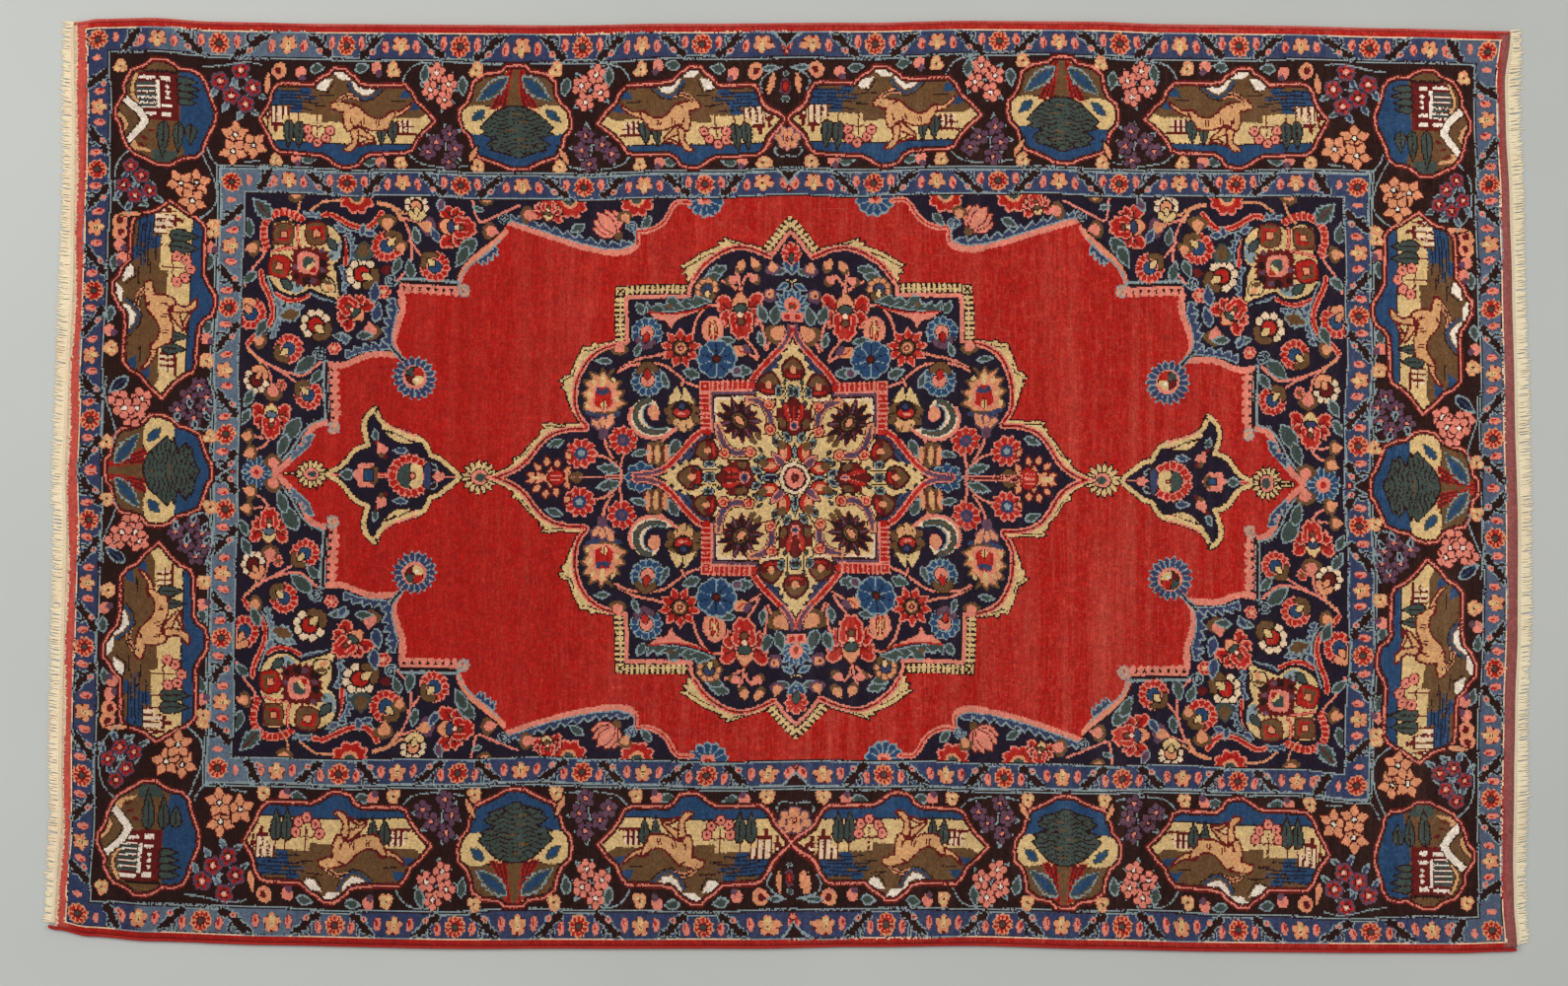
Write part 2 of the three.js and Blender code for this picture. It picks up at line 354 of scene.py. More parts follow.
def peony(x, y, r, turn, heart=PINE, base=PEACH, wide=1.0):
    """Large red flower from the side: petals about a dark heart, over a pale base."""
    for side in (-1, 1):
        for lobe in (BACK_LOBE, FRONT_LOBE):
            shape = turned(curve([(a, side * wide * b) for a, b in lobe], True, 3), x, y, turn, r)
            stroke(shape, 5.4, NIGHT, closed=True)
            framed(shape, FIELD, PINK, 2.6)
            a, b = np.mean(lobe, 0)
            fold = [(0.5 * a, side * wide * 0.66 * b), (1.04 * a, side * wide * 1.08 * b)]
            stroke(turned(fold, x, y, turn, r), 2.4, MAROON)
    shape = [(a, wide * b) for a, b in FRONT_PETAL]
    shape = turned(curve(mirrored(shape), True, 3), x, y, turn, r)
    stroke(shape, 5.4, NIGHT, closed=True)
    framed(shape, FIELD, PINK, 2.6)
    for side in (-1, 1):
        stroke(turned([(0.1, side * 0.26 * wide), (0.6, side * 0.22 * wide)], x, y, turn, r), 1.6, PINK)
    half = [(-0.2, 0.44), (-0.48, 0.4), (-0.8, 0.1), (-0.82, 0)]
    shape = mirrored(half) + [(-0.3, 0)]
    framed(turned([(a, wide * b) for a, b in shape], x, y, turn, r), base, MAROON, 2)
    place = spot(-0.18, 0, x, y, turn, r)
    oval(*place, 0.46 * r, 0.72 * r * wide, turn, NIGHT)
    oval(*place, 0.32 * r, 0.6 * r * wide, turn, heart)
    for a, size, ink in ((0.34, 0.2, MAROON), (0.34, 0.11, OLIVE), (0.08, 0.11, IVORY)):
        disc(*spot(a, 0, x, y, turn, r), size * r, ink)


def curl(x, y, r, turn, ink, edge, way=1):
    """Tendril rolled up at the end of a leaf."""
    for width, colour in ((5.6, edge), (2.2, ink)):
        points = []
        for k in range(15):
            a = math.radians(turn) + way * 1.5 * TAU * k / 14
            reach = r * (1 - 0.72 * k / 14)
            points.append((x + reach * math.cos(a), y + reach * math.sin(a)))
        stroke(points, width, colour)


def vine(points, ink=PINK, width=3.4, shade=None):
    """Smooth stem, perhaps with a dark line on either side."""
    line = curve(points)
    if shade is not None:
        stroke(line, width + 3, shade)
    stroke(line, width, ink)


def points_along(line, pitch):
    """Places at an even pitch along a line, each with its heading in degrees."""
    p = np.array(line, float)
    runs = np.hypot(*np.diff(p, axis=0).T)
    total = np.concatenate([[0], np.cumsum(runs)])
    for s in np.arange(0.5 * pitch, total[-1], pitch):
        k = min(int(np.searchsorted(total, s, "right")) - 1, len(runs) - 1)
        t = (s - total[k]) / runs[k]
        heading = math.degrees(math.atan2(*(p[k + 1] - p[k])[::-1]))
        yield (*(p[k] + t * (p[k + 1] - p[k])), heading)


# Border bands: how far each reaches from the middle of the rug

GUARD_OUT_X, GUARD_OUT_Y = 1026, 654
MAIN_OUT_X, MAIN_OUT_Y = 990, 615
MAIN_IN_X, MAIN_IN_Y = 838, 457
GROUND_X, GROUND_Y = 799, 418


def block(x, y, ink):
    """Everything nearer the middle than x and y."""
    area([(-9, -9), (x, -9), (x, y), (-9, y)], ink)


def draw_bands():
    block(GUARD_OUT_X, GUARD_OUT_Y, IVORY)
    block(GUARD_OUT_X - 2, GUARD_OUT_Y - 2, NIGHT)
    block(GUARD_OUT_X - 3.4, GUARD_OUT_Y - 3.4, BLUE)
    block(MAIN_OUT_X + 4.5, MAIN_OUT_Y + 4.5, NIGHT)
    block(MAIN_OUT_X + 2.5, MAIN_OUT_Y + 2.5, MIST)
    block(MAIN_OUT_X, MAIN_OUT_Y, NIGHT)
    block(MAIN_IN_X + 4.5, MAIN_IN_Y + 4.5, MIST)
    block(MAIN_IN_X + 2, MAIN_IN_Y + 2, NIGHT)
    block(MAIN_IN_X, MAIN_IN_Y, MIST)
    block(MAIN_IN_X - 2.5, MAIN_IN_Y - 2.5, BLUE)
    block(GROUND_X + 4.5, GROUND_Y + 4.5, MIST)
    block(GROUND_X + 2, GROUND_Y + 2, NIGHT)
    block(GROUND_X, GROUND_Y, FIELD)


# Guards. Each is drawn with u along the band, and v across it from its middle, outwards.


def guard_rosette(u, v=0):
    """Red rosette with a green dot."""
    rosette(u, v, 15.5, 10, FIELD, PEACH, MAROON, PEACH, 18)
    disc(u, v, 3.2, PINE)


def guard_blossom(u):
    """Peach flower of five petals on a dark ground, with a gold heart."""
    disc(u, 1, 11.5, MAROON)
    for turn in (270, 342, 54, 126, 198):
        a = math.radians(turn)
        oval(u + 7.4 * math.cos(a), 7.4 * math.sin(a), 11, 9, turn, PEACH)
    disc(u, -6, 4, GOLD)
    disc(u, 1.5, 3.4, GOLD)
    disc(u, 1.5, 1.4, MAROON)


def guard_bud(u, v, turn):
    """Pink bud with a red side in a dull ring."""
    oval(u, v, 12, 20, turn, MAUVE)
    oval(u, v, 9.5, 17.5, turn, PINK)
    oval(u + 1.5, v - 2, 3.5, 8, turn, FIELD)


def guard_leaf(u0, u1):
    """Dark serrated leaf from the band's inner line at u0 to its outer at u1."""
    way = 1 if u1 > u0 else -1
    line = curve([(u0, -13), (u0 + 0.42 * (u1 - u0), -6), (u0 + 0.62 * (u1 - u0), 4), (u1, 12.5)])
    spur = [(u0 + 0.46 * (u1 - u0), -3), (u0 + 0.3 * (u1 - u0), 6), (u0 + 0.34 * (u1 - u0), 13)]
    for ink, stem, branch, out, length, width in (
        (MIST, 10.4, 6, 4.6, 8.5, 5),
        (NIGHT, 7.8, 3, 3.8, 6.5, 3.4),
    ):
        stroke(spur, branch, ink)
        stroke(line, stem, ink)
        for x, y, heading in points_along(line, 6.5):
            for side in (-1, 1):
                oval(*spot(-1, side * out, x, y, heading), length, width, heading - side * 35, ink)
    for length, width, ink in ((11, 9, MIST), (8.5, 6.5, PINK), (3.4, 2.6, MAROON)):
        oval(u0 + way * 17, -8.5, length, width, 40 * way, ink)


def guard(rosettes, blossoms, with_corner):
    """One guard's repeat: rosettes and blossoms by turns, parted by leaves, with buds beside each."""
    flowers = sorted([(u, 0) for u in rosettes] + [(u, 1) for u in blossoms])
    for (u0, kind0), (u1, _) in zip(flowers, flowers[1:]):
        if kind0 == 0:
            guard_leaf(u0 + 26, u1 - 30)
        else:
            guard_leaf(u1 - 26, u0 + 30)
    for u in blossoms:
        arc = [(u - 34, 12), (u - 20, 16.5), (u, 17), (u + 20, 16.5), (u + 34, 12)]
        stroke(curve(arc), 1.8, MIST)
        guard_blossom(u)
        for side in (-1, 1):
            guard_bud(u + side * 23, -2, 4 * side)
    for u in rosettes:
        stroke([(u - 22, -16), (u + 22, -16)], 1.8, MIST)
        guard_rosette(u)
        for side in (-1, 1):
            guard_bud(u + side * 25, 3, 4 * side)
    if with_corner:
        last = flowers[-1][0]
        guard_leaf(last + 46, last + 28)


def heart_of_guard(u):
    """Dark wedge with a small bud over it where a guard's repeat turns round."""
    area([(u - 15, 16), (u + 15, 16), (u, -8)], MIST)
    area([(u - 12, 16), (u + 12, 16), (u, -4)], NIGHT)
    disc(u, -11, 5.6, MAROON)
    disc(u, -11, 3, PINK)


def draw_guards():
    long_out = lambda u, v: (u, MAIN_OUT_Y + 21 + v)
    long_in = lambda u, v: (u, MAIN_IN_Y - 17.5 + v)
    side_out = lambda u, v: (MAIN_OUT_X + 19.5 + v, u)
    side_in = lambda u, v: (MAIN_IN_X - 17.5 + v, u)
    rows = [
        (long_out, [117, 298, 475, 649, 838], [27, 208, 385, 563, 740, 923], AXIS_X, (1008, 0)),
        (long_in, [118, 298, 474, 645], [33, 210, 385, 563, 733], AXIS_X, (820, -4)),
        (side_out, [80, 265, 444], [-12, 172, 357, 537], None, None),
        (side_in, [65, 250], [-30, 157, 340], AXIS_Y, None),
    ]
    for band, rosettes, blossoms, middle, corner in rows:
        mapping[0] = band
        guard(rosettes, blossoms, corner is not None)
        if middle is not None:
            heart_of_guard(middle)
        if corner is not None:
            guard_rosette(*corner)
            oval(corner[0] - 26, corner[1] + 3, 7.5, 15, 0, PINK)
            oval(corner[0] + 2, corner[1] - 27, 15, 7.5, 0, PINK)
    mapping[0] = side_out
    guard_leaf(588, 570)
    mapping[0] = side_in
    guard_leaf(398, 372)
    mapping[0] = STRAIGHT


# Main border: cartouches and medallions with flower clusters between them


def ringed(outline):
    """Lobed frame of a picture: a pink line between maroon ones, drawn over the picture's edge."""
    stroke(outline, 10, NIGHT, closed=True)
    stroke(outline, 7, MAROON, closed=True)
    stroke(outline, 2.2, PINK, closed=True)


CARTOUCHE = [
    (2, 532), (9, 541), (15, 549), (19, 558), (22, 570), (30, 581), (40, 583), (86, 583), (97, 593),
    (108, 598), (116, 606), (133, 606), (142, 600), (150, 596), (157, 588), (175, 585), (226, 585),
    (237, 575), (243, 562), (256, 552), (272, 534), (252, 517), (240, 503), (233, 489), (222, 485),
    (170, 484), (160, 478), (154, 468), (141, 464), (128, 464), (118, 469), (110, 475), (98, 480), (36, 481),
    (27, 487), (21, 496), (18, 505), (12, 514), (6, 524),
]


def cypress(x, y, length, width):
    """Slim dark tree whose tip points inwards, towards the water."""
    framed(turned(petal_shape(length, width, belly=0.6), x, y, -90), PINE, NIGHT, 2.2)
    stroke([(x, y - 5), (x, y - 0.7 * length)], 1.8, NIGHT)


def gazelle():
    """Gazelle that springs and looks back, seen from the side."""
    hind = [(234, 560), (228, 556), (216, 548), (204, 549), (196, 545), (198, 536), (207, 538),
            (219, 543), (232, 553)]
    body = [(207, 548), (199, 545), (190, 539), (177, 538), (166, 544), (157, 553), (147, 559), (136, 557),
            (131, 546), (131, 530), (138, 518), (149, 527), (160, 525), (172, 520), (195, 521),
            (199, 531), (206, 540)]
    head = [(148, 558), (134, 561), (124, 564), (114, 559), (113, 551), (120, 550), (127, 547), (136, 551)]
    leg = [(152, 522), (141, 519), (144, 505), (135, 495), (131, 490), (143, 489), (151, 501)]
    bent = [(152, 526), (166, 517), (177, 506), (172, 505), (160, 511), (147, 515)]
    low = [(178, 501), (168, 507), (157, 502), (149, 497), (158, 498), (168, 502)]
    for part in (hind, bent, low, leg, body, head):
        framed(curve(part, True, 3), TAN, MAROON, 3)
    area(curve([(196, 540), (204, 542), (200, 532), (192, 530)], True, 3), TAN)
    area(curve([(142, 550), (136, 556), (130, 552), (136, 544)], True, 3), TAN)
    for horn in ([(126, 562), (140, 569), (154, 567)], [(122, 563), (132, 571), (146, 574)]):
        stroke(curve(horn), 3.4, NIGHT)
        stroke(curve(horn), 1.6, PEACH)
    for x, y in ((182, 533), (178, 533), (160, 537), (156, 534), (144, 533), (141, 537)):
        stroke([(x, y), (x + 1, y - 7)], 2, MAROON)
    disc(124, 557, 1.4, NIGHT)


def cartouche():
    """Long frame with a small landscape: water, shore, trees and hills, with a gazelle."""
    area(CARTOUCHE, GOLD)
    hills = [(16, 549), (21, 562), (24, 572), (32, 579), (86, 580), (98, 590), (110, 595), (118, 602),
             (132, 602), (148, 594), (156, 585), (224, 582), (234, 573), (240, 560), (250, 552), (258, 544),
             (245, 537), (205, 537), (130, 532), (98, 530), (98, 541), (22, 541)]
    area(hills, OLIVE)
    for (x0, y0), (x1, y1) in (((22, 552), (60, 575)), ((50, 541), (68, 562)), ((64, 560), (93, 566)),
                               ((62, 568), (84, 579)), ((216, 566), (238, 578)), ((228, 548), (246, 560))):
        area([(x0, y0), (x1, y0 + 2), (x1 + 2, y1 - 2), (x0 + 6, y1)], WATER)
    for y, x0, x1 in ((572, 30, 80), (567, 36, 92), (562, 26, 88), (557, 34, 94), (552, 24, 66),
                      (547, 44, 84)):
        stroke([(x0, y), (0.5 * x0 + 0.5 * x1, y + 1.2), (x1, y)], 2, NAVY)
    for y, x0, x1 in ((570, 96, 118), (562, 204, 224), (554, 88, 104)):
        stroke([(x0, y), (x1, y)], 1.8, NIGHT)
    snow = [(112, 604), (134, 604), (142, 594), (150, 580), (160, 572), (172, 574), (182, 582),
            (176, 584), (168, 580), (160, 580), (152, 590), (140, 592), (126, 592)]
    area(snow, WHITE)
    stroke([(140, 588), (149, 574), (160, 567), (172, 569), (186, 580)], 3.2, WATER)
    stroke([(138, 585), (147, 571), (160, 563), (174, 566), (190, 578)], 2, NIGHT)
    area([(92, 581), (100, 590), (116, 592), (106, 577), (96, 576)], WHITE)
    stroke([(92, 577), (108, 574), (118, 588)], 2, NIGHT)
    area([(222, 500), (236, 500), (236, 492), (228, 486), (28, 487), (22, 496), (22, 500)], WATER)
    area([(26, 496), (95, 497), (240, 497), (232, 488), (172, 487), (160, 482), (152, 471), (140, 467),
          (128, 467), (112, 478), (100, 483), (36, 484)], WATER)
    stroke([(22, 499), (240, 499)], 2, NIGHT)
    # Pavilion at the wide end and a smaller one at the other
    for low, high in (((12, 530), (18.5, 547)), ((13.8, 521), (17, 531)), ((20, 521), (38, 526)),
                      ((24, 512), (30, 521))):
        box(low, high, MAROON)
    box((14, 537), (16.8, 546), IVORY)
    for x, top in ((24.5, 526), (34, 526), (43.5, 536)):
        box((x - 4.2, top), (x + 4.2, 551), MAROON)
        box((x - 2.7, top), (x + 2.7, 551), IVORY)
    for x in (211, 219, 227):
        stroke([(x, 514), (x, 534)], 3, MAROON)
        stroke([(x + 4, 518), (x + 4, 534)], 3, IVORY)
    stroke([(208, 514), (240, 514)], 3.4, MAROON)
    stroke([(208, 524), (236, 524)], 2.2, MAROON)
    for tree in ((48, 531, 42, 17), (64, 530, 42, 18), (186, 530, 34, 14), (203, 533, 34, 17)):
        cypress(*tree)
    for x, y in ((48, 541), (63, 541), (92, 541)):
        stroke([(x, y), (x, y - 14)], 2.4, MAROON)
    # Blossoming shrub
    stroke([(92, 540), (92, 510)], 2.6, MAROON)
    for side in (-1, 1):
        stroke(curve([(92, 522), (92 + side * 8, 524), (92 + side * 14, 518)]), 2.2, MAROON)
    for x, y in ((77, 518), (80, 505), (92, 499), (105, 507), (111, 518)):
        disc(x, y, 8, MAROON)
        disc(x, y, 6.4, PINK)
        disc(x, y, 1.6, MAROON)
    gazelle()
    ringed(CARTOUCHE)


TREE_MEDALLION = [
    (390, 614), (404, 613), (411, 606), (434, 603), (449, 593), (452, 577), (458, 564), (470, 554),
    (472, 538), (468, 524), (458, 514), (455, 500), (447, 484), (430, 478), (412, 471), (404, 466),
    (390, 465), (376, 466), (368, 471), (352, 478), (335, 484), (326, 500), (322, 514), (312, 524),
    (309, 538), (311, 554), (322, 564), (328, 577), (331, 593), (346, 603), (369, 606), (376, 613),
]


def great_tree():
    """Broad tree whose dark boughs lie in level tiers, on a trunk with red roots of light above."""
    half = [(0, 560), (14, 558), (26, 553), (36, 545), (44, 537), (53, 528), (44, 521), (52, 519),
            (40, 515), (30, 513), (38, 509), (45, 503), (36, 498), (40, 495), (26, 491), (14, 488), (4, 483)]
    crown = [(389 + a, b) for a, b in half] + [(389 - a, b) for a, b in half[::-1]]
    framed(crown, PINE, NIGHT, 2.4)
    for y, reach in ((552, 22), (546, 30), (540, 36), (534, 41), (528, 45), (522, 40), (516, 36),
                     (509, 34), (503, 38), (497, 30), (491, 18)):
        for side in (-1, 1):
            line = [(389 + side * reach * t, y + 2.2 * math.sin(9 * t + y)) for t in np.linspace(0.06, 1, 9)]
            stroke(line, 1.6, NIGHT)
        oval(389 + (7 * y) % 22 - 11, y + 3, 20, 3.2, 0, PINE)
    for y in (548, 536, 524, 511, 500):
        oval(389 + (5 * y) % 26 - 13, y, 16, 2.4, 0, OLIVE)


def tree_medallion():
    """Round lobed frame with one great tree by the water, under two leaves."""
    area(TREE_MEDALLION, GOLD)
    area([(320, 560), (332, 592), (348, 601), (372, 604), (390, 611), (408, 604), (432, 601),
          (447, 591), (460, 560)], OLIVE)
    stroke([(322, 560), (458, 560)], 2, NIGHT)
    area([(318, 519), (460, 519), (452, 500), (444, 487), (428, 481),
          (404, 470), (390, 468), (376, 470), (352, 481), (338, 487), (328, 500)], WATER)
    for side in (-1, 1):
        at = lambda x: 389 + side * x
        area([(at(4), 612), (at(10), 606), (at(14), 590), (at(36), 556), (at(12), 556), (at(9), 590)],
             MAROON)
        for top, foot in ((5, 13), (8, 20), (10, 27), (12, 35)):
            stroke(curve([(at(top), 608), (at(0.5 * top + 0.4 * foot), 584), (at(foot), 556)]), 1.5, FIELD)
        turn = -36 if side > 0 else 216
        leaf(at(10), 599, 54, 23, turn, OLIVE, MIST, 6)
        leaf(at(12), 597, 50, 15, turn, WATER, PINE, 5)
        area(curve([(at(38), 559), (at(66), 559), (at(77), 545), (at(74), 527), (at(62), 519), (at(48), 519),
                    (at(38), 532)], True, 3), GOLD)
        leaf(at(44), 554, 26, 14, turn - 4 * side, WATER, PINE, 4)
        for a, b in ((28, 553), (22, 556)):
            oval(at(a), b, 4, 8, 30 * side, PEACH)
    great_tree()
    ringed(TREE_MEDALLION)


def cluster(x, y, spots, r, ink, rim, leaf_ink=MIST, heart=WHITE):
    """Spray of blossoms with small leaves between them."""
    for k, (a, b) in enumerate(spots):
        heading = math.degrees(math.atan2(b, a)) + 32
        leaf(x + 0.75 * a, y + 0.75 * b, 22, 9, heading, NAVY, leaf_ink)
        leaf(x + 0.75 * a, y + 0.75 * b, 18, 7, heading - 75, PINE, leaf_ink)
        stroke([(x, y), (x + a, y + b)], 1.8, MIST)
    for k, (a, b) in enumerate(spots):
        five_petals(x + a, y + b, r, ink, rim, heart, 17 * k + 90)


FULL_SPRAY = [(-7, 18), (13, 5), (-16, -4), (7, -17)]
LOOSE_SPRAY = [(8, 14), (-14, 0), (-27, -15), (6, -28), (16, -8)]


def crimson_spray(spots, r):
    """Spray of round dark red blossoms on pale stems."""
    middle = np.mean(spots, 0)
    for x, y in spots:
        stroke(curve([tuple(middle), ((x + middle[0]) / 2 + 3, (y + middle[1]) / 2), (x, y)]), 1.9, MIST)
        leaf(x + 5, y - 9, 17, 8, -60, BLUE, MIST)
        leaf(x - 6, y - 8, 15, 7, -150, PINE, MIST)
    for x, y in spots:
        area(lobed(x, y, r, 5, 0.14, x), NIGHT)
        area(lobed(x, y, 0.94 * r, 5, 0.16, x), MAUVE)
        area(lobed(x, y, 0.6 * r, 5, 0.16, x), MAROON)
        for k in range(5):
            a = math.radians(x + 72 * k)
            disc(x + 0.56 * r * math.cos(a), y + 0.56 * r * math.sin(a), 0.19 * r, FIELD)
        disc(x, y, 0.36 * r, NIGHT)
        disc(x, y, 0.27 * r, PINK)
        disc(x, y, 0.12 * r, WHITE)


def pointed_blossom(x, y, r, turn):
    """Peach blossom of five pointed petals, outlined in dark red, with a pale heart."""
    for ink, more in ((NIGHT, 2.6), (MAROON, 1.4), (PEACH, 0)):
        for k in range(5):
            shape = petal_shape(r + more, 0.62 * r + 2 * more, belly=0.9)
            area(turned(shape, x, y, turn + 72 * k), ink)
    for k in range(5):
        stroke(turned([(0.2 * r, 0), (0.5 * r, 0)], x, y, turn + 36 + 72 * k), 1.8, MAROON)
    disc(x, y, 0.24 * r, NIGHT)
    disc(x, y, 0.14 * r, WHITE)


def filler(x, y, kind):
    """Small things that fill the dark ground between frames and lines."""
    if kind == "pink":
        disc(x, y + 1, 8, PINK)
        disc(x + 3, y - 6, 5, MAUVE)
    elif kind == "gold":
        for a, b in ((-4, -3), (4, -3), (0, 5), (-3, 3)):
            disc(x + a, y + b, 5.8, PEACH)
            disc(x + a, y + b, 3.6, GOLD)
        disc(x, y, 1.8, MAROON)
    elif kind == "ring":
        disc(x, y, 11, PEACH)
        disc(x - 2, y, 5.5, MAROON)
        stroke(curve([(x - 9, y + 3), (x - 3, y - 8), (x + 6, y - 8)]), 3, PINK)
    elif kind == "leaf":
        leaf(x - 11, y, 22, 12, 8, PINE, MIST)
        stroke([(x - 7, y), (x + 6, y)], 2, PINE)


def middle_flowers():
    """Peach blossom and crimson bud on the middle line, where the drawing is stretched."""
    petals = [(0, -12), (7, -7), (9, 3), (3, 11), (-5, -7)]
    for width, ink in ((9.5, MAUVE), (7, PEACH)):
        for a, b in petals:
            oval(AXIS_X + a, 502 + b, width, 1.5 * width, 0, ink)
    for width, ink in ((9, PEACH), (3.4, MAROON), (1.7, PEACH)):
        oval(AXIS_X, 502, width, 2.4 * width, 0, ink)
    stroke(curve([(AXIS_X, 479), (12, 477), (17, 484), (16, 490)]), 1.6, MIST)
    for y in (560, 594):
        oval(AXIS_X, y, 8, 9, 0, MIST)
        oval(AXIS_X, y, 5.4, 6.5, 0, PINE)
    for width, ink in ((11, MAUVE), (8.4, MAROON), (5, FIELD)):
        oval(AXIS_X, 577, width, 2.1 * width, 0, ink)
    oval(13, 582, 3.8, 29, 0, PEACH)
    stroke(curve([(19, 572), (23, 584), (17, 596), (8, 603)]), 1.6, MIST)
    leaf(11, 603, 13, 7, 0, PINE, MIST)


def draw_border():
    """Frames on both sides, then the vines and clusters between them, then the corner."""
    ways = [
        STRAIGHT,
        (lambda x, y: (782 - x, y)),
        (lambda x, y: (y + 376, 403 - 1.062 * (x + 2))),
    ]
    for way in ways:
        mapping[0] = way
        for x, y, kind in ((33, 600, "ring"), (66, 597, "pink"), (90, 603, "leaf"), (160, 606, "leaf"),
                           (182, 606, "pink"), (208, 604, "gold"), (30, 470, "gold"), (60, 472, "pink"),
                           (80, 471, "leaf"), (172, 471, "leaf"), (186, 472, "pink"), (216, 471, "gold")):
            filler(x, y, kind)
        cartouche()
    mapping[0] = STRAIGHT
    middle_flowers()
    tree_medallion()
    mapping[0] = lambda x, y: (y + 373, (x - 390) * 0.98 + AXIS_Y)
    tree_medallion()
    mapping[0] = STRAIGHT

    # Vines between frames, then the clusters over them
    for x in (222, 560):
        way = 1 if x < 300 else -1
        vine([(x, 590), (x + way * 12, 606), (x + way * 34, 613), (x + way * 60, 607)], MIST, 1.9)
        vine([(x + way * 8, 482), (x + way * 24, 470), (x + way * 60, 466), (x + way * 96, 470)], MIST, 1.9)
    cluster(280, 583, FULL_SPRAY, 14, PINK, MAROON)
    cluster(500, 583, [(-a, b) for a, b in FULL_SPRAY], 14, PINK, MAROON)
    cluster(283, 503, LOOSE_SPRAY, 13.5, MAUVE, NIGHT, MIST, PINK)
    cluster(497, 503, [(-a, b) for a, b in LOOSE_SPRAY], 13.5, MAUVE, NIGHT, MIST, PINK)
    for side, x in ((1, 318), (-1, 462)):
        leaf(x, 473, 34, 10, 90 - side * 28, PEACH, NIGHT)
        filler(x + side * 15, 608, "gold")
        filler(x + side * 14, 470, "gold")
        leaf(x - side * 66, 588, 24, 13, 90 - side * 12, PINE, MIST)
        leaf(x - side * 4, 598, 24, 13, -90 + side * 8, PINE, MIST)

    # Corner
    corner_medallion()
    crimson_spray([(806, 600), (836, 584), (788, 576), (821, 564), (800, 552)], 14.5)
    crimson_spray([(961, 449), (946, 434), (972, 420), (936, 412), (956, 404)], 12.5)
    for x, y in ((815, 507), (787, 491), (817, 482), (870, 431), (892, 427), (877, 403)):
        pointed_blossom(x, y, 21, 20 * (x % 5) + 18)
    leaf(768, 566, 36, 11, 96, PEACH, NIGHT)
    leaf(945, 376, 38, 10, 2, PEACH, NIGHT)
    for line in ([(770, 458), (800, 455), (835, 458), (848, 470), (854, 484)],
                 [(778, 468), (800, 465)],
                 [(776, 608), (800, 611), (840, 604), (860, 602)],
                 [(862, 476), (846, 440), (842, 410), (850, 392), (866, 378)],
                 [(964, 472), (980, 452), (985, 420), (978, 392), (962, 376)]):
        vine(line, MIST, 1.9)
    for x, y, kind in ((975, 596, "gold"), (846, 360, "gold"), (975, 350, "ring"), (970, 312, "pink"),
                       (978, 182, "gold"), (846, 170, "gold")):
        filler(x, y, kind)

    # Side clusters and the fillers about the side medallion
    for x, y in ((852, 100), (866, 88), (888, 98), (873, 118), (858, 134), (848, 118)):
        five_petals(x, y, 13, MAUVE, NIGHT, PINK, 3 * x)
        leaf(x, y - 3, 14, 7, 200 + x % 90, NAVY, MIST)
    for x, y in ((938, 110), (970, 108), (950, 84), (944, 96), (962, 96)):
        five_petals(x, y, 16, PINK, MAROON, WHITE, 2 * x)
    leaf(955, 140, 36, 15, -38, NAVY, MIST, 0, WATER)
    vine([(845, 145), (838, 120), (840, 92), (848, 72), (868, 76)], MIST, 2)
    vine([(986, 140), (988, 110), (980, 86), (972, 62), (974, 48)], MIST, 2)
    for x, y in ((843, 62), (985, 48)):
        filler(x, y, "gold")


